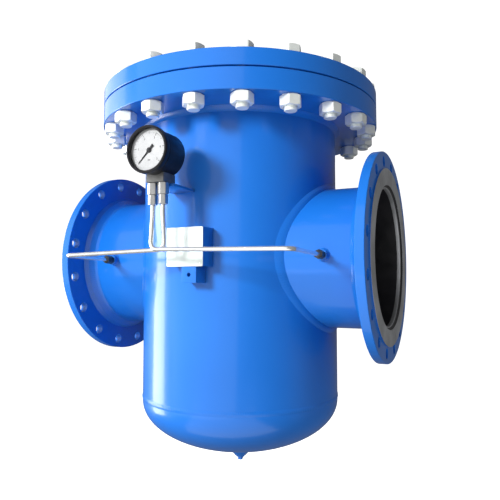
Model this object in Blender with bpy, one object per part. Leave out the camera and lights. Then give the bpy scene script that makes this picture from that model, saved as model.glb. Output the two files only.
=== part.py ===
"""Basket strainer for a DN 350 pipeline: a welded vessel with a bolted cover, a lift-out basket and a gauge.

Metres, +Z up. The origin is where the vessel's axis crosses the pipe's axis. +X points out of the inlet
nozzle, -X out of the outlet nozzle, and the differential pressure gauge faces -Y.
"""

import math

import bmesh
import bpy
from mathutils import Matrix, Vector

# Clearance between pieces that touch
GAP = 0.0003

# Pipe nozzles
PIPE_OD = 0.3556
PIPE_WALL = 0.0078
NOZZLE_PROJECTION = 0.150
NOZZLE_FLANGE_WIDTH = 0.0822
NOZZLE_FLANGE_THICKNESS = 0.026
NOZZLE_BOLT_EDGE = 0.025
NOZZLE_BOLT_HOLE = 0.026
NOZZLE_BOLT_COUNT = 16
RAISED_FACE_MARGIN = 0.003
RAISED_FACE_HEIGHT = 0.004
PIPE_SETBACK = 0.006
FLANGE_WELD_LEG = 0.014
NOZZLE_WELD_LEG = 0.011
WELD_HOLLOW = 0.3

# Vessel
SHELL_OD = 0.530
SHELL_WALL = 0.010
SHELL_DEPTH = 0.362
HEAD_STRAIGHT = 0.010
HEAD_ASPECT = 2.0
SEAM_WELD_WIDTH = 0.013
SEAM_WELD_HEIGHT = 0.0013
DRAIN_BORE = 0.020
DRAIN_BOSS_BASE = 0.054
DRAIN_BOSS_TIP = 0.029
DRAIN_BOSS_COLLAR = 0.015
DRAIN_BOSS_LENGTH = 0.0285
DRAIN_PLUG_ENGAGEMENT = 0.018
DRAIN_PLUG_COLLAR = 0.022
DRAIN_PLUG_COLLAR_HEIGHT = 0.0035
DRAIN_PLUG_SQUARE = 0.011
DRAIN_PLUG_LENGTH = 0.0115

# Cover joint
COVER_THICKNESS = 0.040
COVER_EDGE_BEVEL = 0.002
BODY_FLANGE_THICKNESS = 0.050
BODY_FLANGE_WELD_LEG = 0.012
JOINT_HEIGHT = 0.404
GASKET_THICKNESS = 0.0026
GASKET_WIDTH = 0.030
SHELL_SETBACK = 0.006
COVER_BOLT_OFFSET = 0.085
COVER_BOLT_EDGE = 0.027
COVER_BOLT_COUNT = 20
COVER_BOLT = 0.030
COVER_BOLT_CLEARANCE = 0.0005
NUT_ACROSS_FLATS = 0.046
NUT_HEIGHT = 0.0256
BOLT_HEAD_HEIGHT = 0.0187
BOLT_PROTRUSION = 0.009
CHAMFER_SHARE = 0.97

# Slanted seat and basket
SEAT_MARGIN = 0.030
SEAT_THICKNESS = 0.008
BASKET_MARGIN = 0.095
BASKET_WALL = 0.004
BASKET_FLOOR_HEIGHT = 0.0848
BASKET_CLEARANCE = 0.003
BASKET_RIM_WIDTH = 0.030
BASKET_RIM_THICKNESS = 0.006
BASKET_COLUMNS = 16
BASKET_WINDOW_SHARE = 0.66
BASKET_WINDOW_HEIGHT = 0.056
BASKET_BAND = 0.016
BASKET_FLOOR = 0.004
BAIL_ROD = 0.012
BAIL_HEIGHT = 0.190
BAIL_BEND = 0.104
BAIL_FOOT = 0.022
BAIL_FOOT_HEIGHT = 0.022

# Differential pressure gauge
GAUGE_X = -0.021
GAUGE_DROP = 0.180
GAUGE_STANDOFF = 0.150
GAUGE_DEPTH = 0.080
GAUGE_CASE_OD = 0.100
GAUGE_CASE_WALL = 0.004
GAUGE_BEZEL_LIP = 0.003
GAUGE_BEZEL_WIDTH = 0.007
GAUGE_BEZEL_DEPTH = 0.014
GAUGE_BEZEL_BEVEL = 0.002
GAUGE_WINDOW_THICKNESS = 0.003
GAUGE_WINDOW_SETBACK = 0.003
GAUGE_DIAL_THICKNESS = 0.0015
POINTER_THICKNESS = 0.001
POINTER_REACH = 0.038
POINTER_WIDTH = 0.006
POINTER_TIP_WIDTH = 0.0012
POINTER_TAIL = 0.015
POINTER_TAIL_WIDTH = 0.0048
POINTER_HUB = 0.012
POINTER_LIFT = 0.0012
POINTER_REST_ANGLE = math.radians(225)
SPINDLE = 0.004

# Gauge mounting and impulse tubes
MANIFOLD_WIDTH = 0.046
MANIFOLD_WRAP = 0.012
MANIFOLD_DEPTH = 0.016
MANIFOLD_SETBACK = 0.033
GAUGE_BRACKET_WIDTH = 0.062
GAUGE_BRACKET_THICKNESS = 0.006
TUBE_OD = 0.010
TUBE_BEND = 0.018
TUBE_SPACING = 0.027
TUBE_SETBACK = 0.047
TUBE_CLEARANCE = 0.004
TUBE_CROSSING_Z = 0.010
TUBE_ELBOW_Z = 0.003
FITTING_BODY_FLATS = 0.022
FITTING_BODY_HEIGHT = 0.026
FITTING_NUT_FLATS = 0.019
FITTING_NUT_HEIGHT = 0.022
FITTING_CLEARANCE = 0.0009
PORT_OFFSET = 0.033
PORT_BOSS_OD = 0.026
PORT_BOSS_LENGTH = 0.014
PORT_NUT_FLATS = 0.019
PORT_NUT_LENGTH = 0.022

# Nameplate and earthing lug
PLATE_LEFT = -0.039
PLATE_WIDTH = 0.097
PLATE_BOTTOM = -0.026
PLATE_HEIGHT = 0.090
PLATE_THICKNESS = 0.0015
PLATE_STANDOFF = 0.042
STANDOFF_WALL = 0.004
LUG_LEFT = 0.002
LUG_WIDTH = 0.039
LUG_HEIGHT = 0.037
LUG_WALL = 0.005
LUG_HOLE = 0.009

# Facets around round pieces, and steps along curved outlines
SHELL_SIDES = 32
HEX_SIDES = 12
DRILL_SIDES = 8
GAUGE_SIDES = 24
SMALL_SIDES = 12
HEAD_STEPS = 6
WELD_STEPS = 2
SADDLE_STEPS = 6

# Sizes that follow from the ones above
PIPE_RADIUS = PIPE_OD / 2
BORE_RADIUS = PIPE_RADIUS - PIPE_WALL
SHELL_RADIUS = SHELL_OD / 2
SHELL_INSIDE = SHELL_RADIUS - SHELL_WALL
SADDLE_FACET = 2 * math.pi * (PIPE_RADIUS + NOZZLE_WELD_LEG) / SHELL_SIDES
SADDLE_RADIUS = SHELL_RADIUS + GAP + SADDLE_FACET ** 2 / (8 * SHELL_RADIUS)
NOZZLE_FACE = SHELL_RADIUS + NOZZLE_PROJECTION
NOZZLE_FLANGE_RADIUS = PIPE_RADIUS + NOZZLE_FLANGE_WIDTH
NOZZLE_BOLT_RADIUS = NOZZLE_FLANGE_RADIUS - NOZZLE_BOLT_EDGE
RAISED_FACE_RADIUS = NOZZLE_BOLT_RADIUS - NOZZLE_BOLT_HOLE / 2 - RAISED_FACE_MARGIN
PORT_X = SHELL_RADIUS + PORT_OFFSET
COVER_BOLT_RADIUS = SHELL_RADIUS + COVER_BOLT_OFFSET
COVER_RADIUS = COVER_BOLT_RADIUS + COVER_BOLT_EDGE
BODY_FLANGE_TOP = JOINT_HEIGHT - GASKET_THICKNESS / 2 - GAP
BODY_FLANGE_BOTTOM = BODY_FLANGE_TOP - BODY_FLANGE_THICKNESS
COVER_BOTTOM = JOINT_HEIGHT + GASKET_THICKNESS / 2 + GAP
COVER_TOP = COVER_BOTTOM + COVER_THICKNESS
BOLT_HOLE_RADIUS = COVER_BOLT / 2 + COVER_BOLT_CLEARANCE
NUT_BOTTOM = BODY_FLANGE_BOTTOM - NUT_HEIGHT
HEAD_TOP = -SHELL_DEPTH - GAP
HEAD_RISE = SHELL_RADIUS / HEAD_ASPECT
HEAD_BOTTOM = HEAD_TOP - HEAD_STRAIGHT - HEAD_RISE
SEAT_SLOPE = (BORE_RADIUS + SEAT_MARGIN) / SHELL_INSIDE
SEAT_GAP = GAP * math.hypot(1, SEAT_SLOPE)
SEAT_RISE = SEAT_THICKNESS * math.hypot(1, SEAT_SLOPE)
RIM_RISE = BASKET_RIM_THICKNESS * math.hypot(1, SEAT_SLOPE)
BASKET_RADIUS = SHELL_INSIDE - BASKET_MARGIN
BASKET_INSIDE = BASKET_RADIUS - BASKET_WALL
BASKET_RIM_RADIUS = BASKET_RADIUS + BASKET_RIM_WIDTH
BASKET_BOTTOM = HEAD_BOTTOM + BASKET_FLOOR_HEIGHT
GAUGE_FRONT = SHELL_RADIUS + GAUGE_STANDOFF
GAUGE_BACK = GAUGE_FRONT - GAUGE_DEPTH
GAUGE_CENTRE = Vector((GAUGE_X, -GAUGE_FRONT, JOINT_HEIGHT - GAUGE_DROP))
GAUGE_RADIUS = GAUGE_CASE_OD / 2
GAUGE_BEZEL_RADIUS = GAUGE_RADIUS + GAUGE_BEZEL_LIP
GAUGE_SIGHT_RADIUS = GAUGE_BEZEL_RADIUS - GAUGE_BEZEL_WIDTH
GAUGE_POCKET_RADIUS = GAUGE_SIGHT_RADIUS + GAUGE_BEZEL_BEVEL
DIAL_FACE = GAUGE_DIAL_THICKNESS - GAUGE_BEZEL_DEPTH
MANIFOLD_TOP = GAUGE_CENTRE.z - GAUGE_RADIUS + MANIFOLD_WRAP
MANIFOLD_BOTTOM = GAUGE_CENTRE.z - GAUGE_RADIUS - MANIFOLD_DEPTH
TUBE_PLANE = GAUGE_FRONT - TUBE_SETBACK
PLATE_FRONT = SHELL_RADIUS + PLATE_STANDOFF
FITTING_TOP = MANIFOLD_BOTTOM - GAP
FITTING_BOTTOM = FITTING_TOP - FITTING_BODY_HEIGHT - GAP - FITTING_NUT_HEIGHT

FACING_FRONT = Matrix.Rotation(math.radians(90), 4, "X")
SMOOTH_ANGLE = math.radians(35)


# Materials


def finish(name, colour, roughness, metallic=0.0, alpha=1.0):
    """A Principled material in one plain colour."""
    material = bpy.data.materials.new(name)
    material.use_nodes = True
    shader = material.node_tree.nodes["Principled BSDF"]
    shader.inputs["Base Color"].default_value = (*colour, 1.0)
    shader.inputs["Roughness"].default_value = roughness
    shader.inputs["Metallic"].default_value = metallic
    shader.inputs["Alpha"].default_value = alpha
    return material


def make_finishes():
    return {
        "paint": finish("blue_paint", (0.03, 0.17, 0.72), 0.25),
        "zinc": finish("zinc_plate", (0.72, 0.74, 0.74), 0.35, 1.0),
        "stainless": finish("stainless_steel", (0.62, 0.63, 0.64), 0.28, 1.0),
        "gasket": finish("gasket_sheet", (0.10, 0.10, 0.10), 0.8),
        "black": finish("black_case", (0.015, 0.015, 0.017), 0.3),
        "dial": finish("dial_white", (0.85, 0.86, 0.86), 0.5),
        "pointer": finish("pointer_black", (0.02, 0.02, 0.02), 0.5),
        "glass": finish("window_glass", (0.9, 0.95, 0.95), 0.02, 0.0, 0.25),
        "plate": finish("nameplate_aluminium", (0.82, 0.83, 0.84), 0.35, 1.0),
    }


# Shapes


def circle(radius, height=0.0, sides=SHELL_SIDES, centre=(0.0, 0.0), phase=0.0):
    """A level ring of points."""
    ring = []
    for i in range(sides):
        angle = 2 * math.pi * i / sides + phase
        ring.append(Vector((centre[0] + radius * math.cos(angle), centre[1] + radius * math.sin(angle), height)))
    return ring


def hexagon(across_flats, height, centre=(0.0, 0.0), phase=0.0):
    """A level hexagon as a ring of points, with HEX_SIDES points so that it joins a hole's ring."""
    ring = []
    for i in range(HEX_SIDES):
        angle = 2 * math.pi * i / HEX_SIDES
        from_flat = (angle + math.pi / 6) % (math.pi / 3) - math.pi / 6
        radius = across_flats / 2 / math.cos(from_flat)
        turned = angle + phase
        ring.append(Vector((centre[0] + radius * math.cos(turned), centre[1] + radius * math.sin(turned), height)))
    return ring


def chamfered_hexagon(across_flats, height, outwards, centre=(0.0, 0.0), phase=0.0):
    """The ring where a 30 degree chamfer cone leaves the six flats of a hexagon."""
    ring = hexagon(across_flats, height, centre, phase)
    for point in ring:
        radius = math.hypot(point.x - centre[0], point.y - centre[1])
        point.z -= outwards * (radius - CHAMFER_SHARE * across_flats / 2) * math.tan(math.radians(30))
    return ring


def loft_into(bm, rings, closed):
    """Skins rings of equal length. An open loft gets two caps, a closed one joins its last ring to its first."""
    made = [[bm.verts.new(point) for point in ring] for ring in rings]
    pairs = list(zip(made, made[1:]))
    if closed:
        pairs.append((made[-1], made[0]))
    for low, high in pairs:
        count = len(low)
        for i in range(count):
            following = (i + 1) % count
            bm.faces.new((low[i], low[following], high[following], high[i]))
    if not closed:
        bm.faces.new(reversed(made[0]))
        bm.faces.new(made[-1])


def mesh_object(name, bm, material):
    """Turns a bmesh into a named object with outward normals and smooth shading between sharp edges."""
    bmesh.ops.recalc_face_normals(bm, faces=bm.faces)
    mesh = bpy.data.meshes.new(name)
    bm.to_mesh(mesh)
    bm.free()
    mesh.shade_smooth()
    mesh.set_sharp_from_angle(angle=SMOOTH_ANGLE)
    made = bpy.data.objects.new(name, mesh)
    bpy.context.scene.collection.objects.link(made)
    if material:
        mesh.materials.append(material)
    return made


def loft(name, rings, material, closed=False):
    bm = bmesh.new()
    loft_into(bm, rings, closed)
    return mesh_object(name, bm, material)


def turned(name, profile, material, sides=SHELL_SIDES, closed=True):
    """Spins a profile of (radius, height) pairs about Z. A closed profile goes round a hole in the middle."""
    return loft(name, [circle(radius, height, sides) for radius, height in profile], material, closed)


def box(name, low, high, material):
    """A block between two opposite corners."""
    corners = [(low[0], low[1]), (high[0], low[1]), (high[0], high[1]), (low[0], high[1])]
    rings = [[Vector((x, y, z)) for x, y in corners] for z in (low[2], high[2])]
    return loft(name, rings, material)


def extruded(name, outline, bottom, top, material):
    """A flat outline in X and Y, raised from bottom to top."""
    return loft(name, [[Vector((x, y, z)) for x, y in outline] for z in (bottom, top)], material)


def helper(shape):
    """Marks a shape as a cutting or joining tool that isn't part of the model."""
    shape.hide_render = True
    shape.display_type = "WIRE"
    return shape


def boolean(target, tool, operation):
    modifier = target.modifiers.new(operation.title(), "BOOLEAN")
    modifier.operation = operation
    modifier.solver = "EXACT"
    modifier.object = helper(tool)


def around(count, radius):
    """Centres on a bolt circle that straddles the X and Y axes, each with its angle."""
    for i in range(count):
        angle = 2 * math.pi * (i + 0.5) / count
        yield angle, (radius * math.cos(angle), radius * math.sin(angle))


def hole_cutter(name, count, circle_radius, hole_radius, bottom, top, sides):
    """One tool with a pin for each hole of a bolt circle."""
    bm = bmesh.new()
    for angle, centre in around(count, circle_radius):
        loft_into(bm, [circle(hole_radius, z, sides, centre, angle) for z in (bottom, top)], False)
    return mesh_object(name, bm, None)


def quarter_curve(start, end, corner, steps):
    """Points of a concave quarter ellipse from start to end, hollow towards the corner."""
    for i in range(steps + 1):
        angle = math.pi / 2 * i / steps
        across = 1 - math.sin(angle)
        along = 1 - math.cos(angle)
        yield (
            corner[0] + (start[0] - corner[0]) * across + (end[0] - corner[0]) * along,
            corner[1] + (start[1] - corner[1]) * across + (end[1] - corner[1]) * along,
        )


def rounded_route(corners, radius, steps=5):
    """The points of a bent tube: straight runs between the corners, with an arc of this radius at each bend."""
    points = [corners[0]]
    for before, corner, after in zip(corners, corners[1:], corners[2:]):
        back = (before - corner).normalized()
        on = (after - corner).normalized()
        half = back.angle(on) / 2
        setback = radius / math.tan(half)
        centre = corner + (back + on).normalized() * (radius / math.sin(half))
        first = corner + back * setback - centre
        last = corner + on * setback - centre
        sweep = first.angle(last)
        for i in range(steps + 1):
            share = i / steps
            blend = (first * math.sin((1 - share) * sweep) + last * math.sin(share * sweep)) / math.sin(sweep)
            points.append(centre + blend)
    points.append(corners[-1])
    return points


def rod(name, points, diameter, material, resolution=2):
    """A round bar or tube along a route."""
    curve = bpy.data.curves.new(name, "CURVE")
    curve.dimensions = "3D"
    curve.bevel_depth = diameter / 2
    curve.bevel_resolution = resolution
    curve.use_fill_caps = True
    spline = curve.splines.new("POLY")
    spline.points.add(len(points) - 1)
    for slot, point in zip(spline.points, points):
        slot.co = (*point, 1.0)
    curve.materials.append(material)
    made = bpy.data.objects.new(name, curve)
    bpy.context.scene.collection.objects.link(made)
    return made


def place(made, origin, turn=None):
    made.matrix_world = Matrix.Translation(origin) @ (turn or Matrix.Identity(4))
    return made


# Vessel


def make_shell(finishes):
    """The rolled shell, open at both ends, with half of the bottom seam's weld bead and a bore for each nozzle."""
    weld_start = -SHELL_DEPTH + SEAM_WELD_WIDTH / 2
    profile = [
        (SHELL_INSIDE, -SHELL_DEPTH),
        (SHELL_RADIUS + SEAM_WELD_HEIGHT, -SHELL_DEPTH),
        (SHELL_RADIUS, weld_start),
        (SHELL_RADIUS, BODY_FLANGE_TOP - SHELL_SETBACK),
        (SHELL_INSIDE, BODY_FLANGE_TOP - SHELL_SETBACK),
    ]
    shell = turned("shell", profile, finishes["paint"])
    bore = turned("nozzle_bore_cutter", [(BORE_RADIUS, -SHELL_OD), (BORE_RADIUS, SHELL_OD)], None, closed=False)
    boolean(shell, place(bore, (0, 0, 0), Matrix.Rotation(math.pi / 2, 4, "Y")), "DIFFERENCE")


def head_curve(radius, rise, top, steps, end_radius):
    """Points down a half-ellipse from the straight flange to the drain bore."""
    last = math.acos(end_radius / radius)
    for i in range(steps + 1):
        angle = last * i / steps
        yield radius * math.cos(angle), top - rise * math.sin(angle)


def make_bottom_head(finishes):
    """The dished head, with the other half of the seam's bead and a bore for the drain."""
    top = HEAD_TOP - HEAD_STRAIGHT
    drain_radius = DRAIN_BORE / 2
    outside = list(head_curve(SHELL_RADIUS, HEAD_RISE, top, HEAD_STEPS, drain_radius))
    inside = list(head_curve(SHELL_INSIDE, HEAD_RISE - SHELL_WALL, top, HEAD_STEPS - 1, drain_radius))
    bead = [(SHELL_RADIUS + SEAM_WELD_HEIGHT, HEAD_TOP), (SHELL_RADIUS, HEAD_TOP - SEAM_WELD_WIDTH / 2)]
    profile = [(SHELL_INSIDE, HEAD_TOP)] + bead + outside + inside[::-1]
    turned("bottom_head", profile, finishes["paint"])


def make_drain(finishes):
    """A drain boss that tapers from a short collar to its plug, which has a square head."""
    boss_top = HEAD_BOTTOM - GAP
    boss_bottom = boss_top - DRAIN_BOSS_LENGTH
    bore = DRAIN_BORE / 2
    base = DRAIN_BOSS_BASE / 2
    tip = DRAIN_BOSS_TIP / 2
    boss = [(bore, boss_top), (base, boss_top), (base, boss_top - DRAIN_BOSS_COLLAR), (tip, boss_bottom),
            (bore, boss_bottom)]
    turned("drain_boss", boss, finishes["paint"], SMALL_SIDES)
    shank = bore - GAP
    collar = DRAIN_PLUG_COLLAR / 2
    low = boss_bottom - GAP
    collar_bottom = low - DRAIN_PLUG_COLLAR_HEIGHT
    profile = [(shank, boss_bottom + DRAIN_PLUG_ENGAGEMENT), (shank, low), (collar, low), (collar, collar_bottom)]
    plug = turned("drain_plug", profile, finishes["paint"], SMALL_SIDES, closed=False)
    half = DRAIN_PLUG_SQUARE / 2
    square = [(half, -half), (half, half), (-half, half), (-half, -half)]
    inside_collar = low - DRAIN_PLUG_COLLAR_HEIGHT / 2
    key = extruded("drain_plug_square", square, low - DRAIN_PLUG_LENGTH, inside_collar, None)
    boolean(plug, key, "UNION")


def make_body_flange(finishes):
    """The body flange with its fillet weld and, on its underside, the nuts of the cover bolts."""
    inner = SHELL_RADIUS + GAP
    fillet = weld_profile(inner, BODY_FLANGE_BOTTOM, BODY_FLANGE_WELD_LEG)
    profile = fillet + [(inner, BODY_FLANGE_TOP)] + rim_profile(BODY_FLANGE_TOP, BODY_FLANGE_BOTTOM)
    flange = turned("body_flange", profile, finishes["paint"])
    bm = bmesh.new()
    seated = BODY_FLANGE_BOTTOM + COVER_EDGE_BEVEL
    for angle, centre in around(COVER_BOLT_COUNT, COVER_BOLT_RADIUS):
        loft_into(bm, [
            circle(CHAMFER_SHARE * NUT_ACROSS_FLATS / 2, NUT_BOTTOM, HEX_SIDES, centre, angle),
            chamfered_hexagon(NUT_ACROSS_FLATS, NUT_BOTTOM, -1, centre, angle),
            hexagon(NUT_ACROSS_FLATS, seated, centre, angle),
        ], False)
    boolean(flange, mesh_object("nut_tool", bm, None), "UNION")
    drill = hole_cutter("body_bolt_cutter", COVER_BOLT_COUNT, COVER_BOLT_RADIUS, BOLT_HOLE_RADIUS,
                        NUT_BOTTOM - NUT_HEIGHT, BODY_FLANGE_TOP + NUT_HEIGHT, HEX_SIDES)
    boolean(flange, drill, "DIFFERENCE")


def weld_profile(inner, level, leg):
    """A hollow fillet weld below this level, against a wall of this radius, from outer toe to lower toe."""
    return list(quarter_curve((inner + leg, level), (inner, level - leg), (inner, level), WELD_STEPS))


def rim_profile(top, bottom):
    """The outer edge of a cover-size flange, with its corners broken."""
    return [
        (COVER_RADIUS - COVER_EDGE_BEVEL, top),
        (COVER_RADIUS, top - COVER_EDGE_BEVEL),
        (COVER_RADIUS, bottom + COVER_EDGE_BEVEL),
        (COVER_RADIUS - COVER_EDGE_BEVEL, bottom),
    ]


def saddle_x(radius, angle):
    """How far along the nozzle the shell's surface is met, at this distance from and angle round the pipe axis."""
    across = radius * math.sin(angle)
    return math.sqrt(SADDLE_RADIUS ** 2 - across ** 2)


def make_nozzle_neck(name, side, finishes):
    """A pipe stub cut to the shell's curve, with a hollow fillet weld around the joint."""
    end = NOZZLE_FACE - PIPE_SETBACK
    root = PIPE_RADIUS + NOZZLE_WELD_LEG
    hollow = NOZZLE_WELD_LEG * WELD_HOLLOW
    mid = PIPE_RADIUS + hollow

    def ring(radius, along):
        points = []
        for i in range(SHELL_SIDES):
            angle = 2 * math.pi * i / SHELL_SIDES
            points.append(Vector((side * along(angle), radius * math.sin(angle), radius * math.cos(angle))))
        return points

    rings = [
        ring(BORE_RADIUS, lambda a: end),
        ring(BORE_RADIUS, lambda a: saddle_x(BORE_RADIUS, a)),
        ring(PIPE_RADIUS, lambda a: saddle_x(PIPE_RADIUS, a)),
        ring(root, lambda a: saddle_x(root, a)),
        ring(mid, lambda a: saddle_x(mid, a) + hollow),
        ring(PIPE_RADIUS, lambda a: saddle_x(PIPE_RADIUS, a) + NOZZLE_WELD_LEG),
        ring(PIPE_RADIUS, lambda a: end),
    ]
    loft(name, rings, finishes["paint"], closed=True)


def make_nozzle_flange(name, side, finishes):
    """A slip-on pipe flange: raised face, fillet weld at its back, and holes that straddle the centrelines."""
    face = NOZZLE_FACE
    back = face - NOZZLE_FLANGE_THICKNESS
    front = face - RAISED_FACE_HEIGHT
    inner = PIPE_RADIUS + GAP
    outer = NOZZLE_FLANGE_RADIUS
    profile = weld_profile(inner, back, FLANGE_WELD_LEG) + [
        (inner, face),
        (RAISED_FACE_RADIUS, face),
        (RAISED_FACE_RADIUS, front),
        (outer - COVER_EDGE_BEVEL, front),
        (outer, front - COVER_EDGE_BEVEL),
        (outer, back + COVER_EDGE_BEVEL),
        (outer - COVER_EDGE_BEVEL, back),
    ]
    flange = turned(name, profile, finishes["paint"])
    drill = hole_cutter(name + "_drill", NOZZLE_BOLT_COUNT, NOZZLE_BOLT_RADIUS, NOZZLE_BOLT_HOLE / 2,
                        back - FLANGE_WELD_LEG, face + RAISED_FACE_HEIGHT, DRILL_SIDES)
    turn = Matrix.Rotation(side * math.pi / 2, 4, "Y")
    place(drill, (0, 0, 0), turn)
    place(flange, (0, 0, 0), turn)
    boolean(flange, drill, "DIFFERENCE")


# Cover


def make_cover(finishes):
    """The blind cover plate, drilled for its bolts, and the gasket under it."""
    rings = [circle(COVER_RADIUS - COVER_EDGE_BEVEL, COVER_TOP)]
    rings += [circle(radius, z) for radius, z in rim_profile(COVER_TOP, COVER_BOTTOM)[1:]]
    cover = loft("cover_plate", rings, finishes["paint"])
    drill = hole_cutter("cover_bolt_cutter", COVER_BOLT_COUNT, COVER_BOLT_RADIUS, BOLT_HOLE_RADIUS,
                        COVER_BOTTOM - COVER_THICKNESS, COVER_TOP + COVER_THICKNESS, HEX_SIDES)
    boolean(cover, drill, "DIFFERENCE")
    outer = COVER_BOLT_RADIUS - BOLT_HOLE_RADIUS - COVER_BOLT_CLEARANCE
    inner = outer - GASKET_WIDTH
    low = JOINT_HEIGHT - GASKET_THICKNESS / 2
    high = JOINT_HEIGHT + GASKET_THICKNESS / 2
    turned("cover_gasket", [(inner, low), (outer, low), (outer, high), (inner, high)], finishes["gasket"])


def make_cover_bolts(finishes):
    """Hexagon head bolts through cover, body flange and nut, each with its own object and one shared mesh."""
    seat = COVER_TOP + GAP
    head_top = seat + BOLT_HEAD_HEIGHT
    shank = COVER_BOLT / 2
    pattern = loft("cover_bolt_01", [
        circle(shank, NUT_BOTTOM - BOLT_PROTRUSION, HEX_SIDES),
        circle(shank, seat, HEX_SIDES),
        hexagon(NUT_ACROSS_FLATS, seat),
        chamfered_hexagon(NUT_ACROSS_FLATS, head_top, 1),
        circle(CHAMFER_SHARE * NUT_ACROSS_FLATS / 2, head_top, HEX_SIDES),
    ], finishes["zinc"])
    for number, (angle, centre) in enumerate(around(COVER_BOLT_COUNT, COVER_BOLT_RADIUS), start=1):
        bolt = pattern if number == 1 else pattern.copy()
        bolt.name = f"cover_bolt_{number:02d}"
        if number > 1:
            bpy.context.scene.collection.objects.link(bolt)
        place(bolt, (*centre, 0), Matrix.Rotation(angle, 4, "Z"))


# Slanted seat and basket


def slanted(radius, lift, sides=SHELL_SIDES):
    """A ring that is round from above and follows the seat's slope."""
    ring = circle(radius, 0.0, sides)
    for point in ring:
        point.z = lift - point.x * SEAT_SLOPE
    return ring


def make_seat(finishes):
    """The slanted partition between inlet and outlet, with a round hole that the basket hangs in."""
    outer = SHELL_INSIDE - GAP
    hole = BASKET_RADIUS + BASKET_CLEARANCE
    rings = [slanted(hole, -SEAT_RISE), slanted(outer, -SEAT_RISE), slanted(outer, 0), slanted(hole, 0)]
    loft("basket_seat", rings, finishes["paint"], closed=True)


def make_basket_rim(finishes):
    """The basket's slanted rim, with two feet for the bail."""
    inner = BASKET_INSIDE
    outer = BASKET_RIM_RADIUS
    top = SEAT_GAP + RIM_RISE
    rings = [slanted(inner, SEAT_GAP), slanted(outer, SEAT_GAP), slanted(outer, top), slanted(inner, top)]
    rim = loft("basket_rim", rings, finishes["stainless"], closed=True)
    bm = bmesh.new()
    for centre in bail_feet():
        low = circle(BAIL_FOOT / 2, SEAT_GAP + RIM_RISE / 2, SMALL_SIDES, centre)
        for point in low:
            point.z -= point.x * SEAT_SLOPE
        loft_into(bm, [low, circle(BAIL_FOOT / 2, top + BAIL_FOOT_HEIGHT, SMALL_SIDES, centre)], False)
    boolean(rim, mesh_object("bail_feet_tool", bm, None), "UNION")


def bail_feet():
    """Where the two feet of the bail stand on the rim."""
    middle = (BASKET_INSIDE + BASKET_RIM_RADIUS) / 2
    return [(0.0, -middle), (0.0, middle)]


def make_bail(finishes):
    """The round bar that the basket is lifted by."""
    foot = SEAT_GAP + RIM_RISE + BAIL_FOOT_HEIGHT + GAP
    near, far = bail_feet()
    corners = [
        Vector((*near, foot)),
        Vector((*near, BAIL_HEIGHT)),
        Vector((*far, BAIL_HEIGHT)),
        Vector((*far, foot)),
    ]
    rod("basket_bail", rounded_route(corners, BAIL_BEND), BAIL_ROD, finishes["stainless"])


def screen_columns():
    """Angles of the upright lines that bound the solid ribs and the windowed columns, in turn."""
    step = 2 * math.pi / BASKET_COLUMNS
    for i in range(BASKET_COLUMNS):
        yield step * (i - BASKET_WINDOW_SHARE / 2)
        yield step * (i + BASKET_WINDOW_SHARE / 2)


def make_basket_screen(finishes):
    """The perforated wall: upright ribs, and between them windows as far up as the slanted rim leaves room for."""
    outer = BASKET_RADIUS
    inner = BASKET_INSIDE
    angles = list(screen_columns())

    def top_at(angle, radius):
        return -radius * math.cos(angle) * SEAT_SLOPE

    def heights(column):
        """Window edges of a column, lowest first: sill, head, sill, head and so on."""
        left, right = angles[column], angles[column + 1]
        room = min(top_at(left, outer), top_at(right, outer)) - BASKET_BAND
        found = []
        low = BASKET_BOTTOM + BASKET_BAND
        while low + BASKET_WINDOW_HEIGHT <= room:
            found += [low, low + BASKET_WINDOW_HEIGHT]
            low += BASKET_WINDOW_HEIGHT + BASKET_BAND
        return found

    bm = bmesh.new()
    count = len(angles)
    lines = []
    for i, angle in enumerate(angles):
        column = i - i % 2
        line = {}
        for wall, radius in (("out", outer), ("in", inner)):
            levels = [BASKET_BOTTOM] + heights(column) + [top_at(angle, radius)]
            line[wall] = [bm.verts.new((radius * math.cos(angle), radius * math.sin(angle), z)) for z in levels]
        lines.append(line)
    for i in range(count):
        left, right = lines[i], lines[(i + 1) % count]
        for wall in ("out", "in"):
            if i % 2:
                bm.faces.new(left[wall] + right[wall][::-1])
                continue
            for k in range(0, len(left[wall]), 2):
                bm.faces.new((left[wall][k], right[wall][k], right[wall][k + 1], left[wall][k + 1]))
        for k in (0, -1):
            bm.faces.new((left["out"][k], right["out"][k], right["in"][k], left["in"][k]))
        if i % 2:
            continue
        for k in range(1, len(left["out"]) - 1, 2):
            frame = [left["out"][k], right["out"][k], right["out"][k + 1], left["out"][k + 1]]
            behind = [left["in"][k], right["in"][k], right["in"][k + 1], left["in"][k + 1]]
            for j in range(4):
                bm.faces.new((frame[j], frame[(j + 1) % 4], behind[(j + 1) % 4], behind[j]))
    mesh_object("basket_screen", bm, finishes["stainless"])


def make_basket_floor(finishes):
    """The disc that closes the basket's lower end, set in flush."""
    radius = BASKET_INSIDE - GAP
    outline = [(radius * math.cos(angle), radius * math.sin(angle)) for angle in screen_columns()]
    extruded("basket_floor", outline, BASKET_BOTTOM, BASKET_BOTTOM + BASKET_FLOOR, finishes["stainless"])


# Gauge


def gauge_turned(name, profile, material, closed=True):
    """A turned piece on the gauge's axis. Heights in its profile count forwards from the gauge's front face."""
    made = turned(name, profile, material, GAUGE_SIDES, closed)
    return place(made, GAUGE_CENTRE, FACING_FRONT)


def make_gauge_case(finishes):
    """The case, a cup open to the front with a broken back edge."""
    inner = GAUGE_RADIUS - GAUGE_CASE_WALL
    back = -GAUGE_DEPTH
    front = -GAUGE_BEZEL_DEPTH - GAP
    rings = [(inner, front - GAUGE_BEZEL_DEPTH), (inner, front), (GAUGE_RADIUS, front),
             (GAUGE_RADIUS, back + GAUGE_CASE_WALL), (inner, back)]
    gauge_turned("gauge_case", rings, finishes["black"], closed=False)


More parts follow.
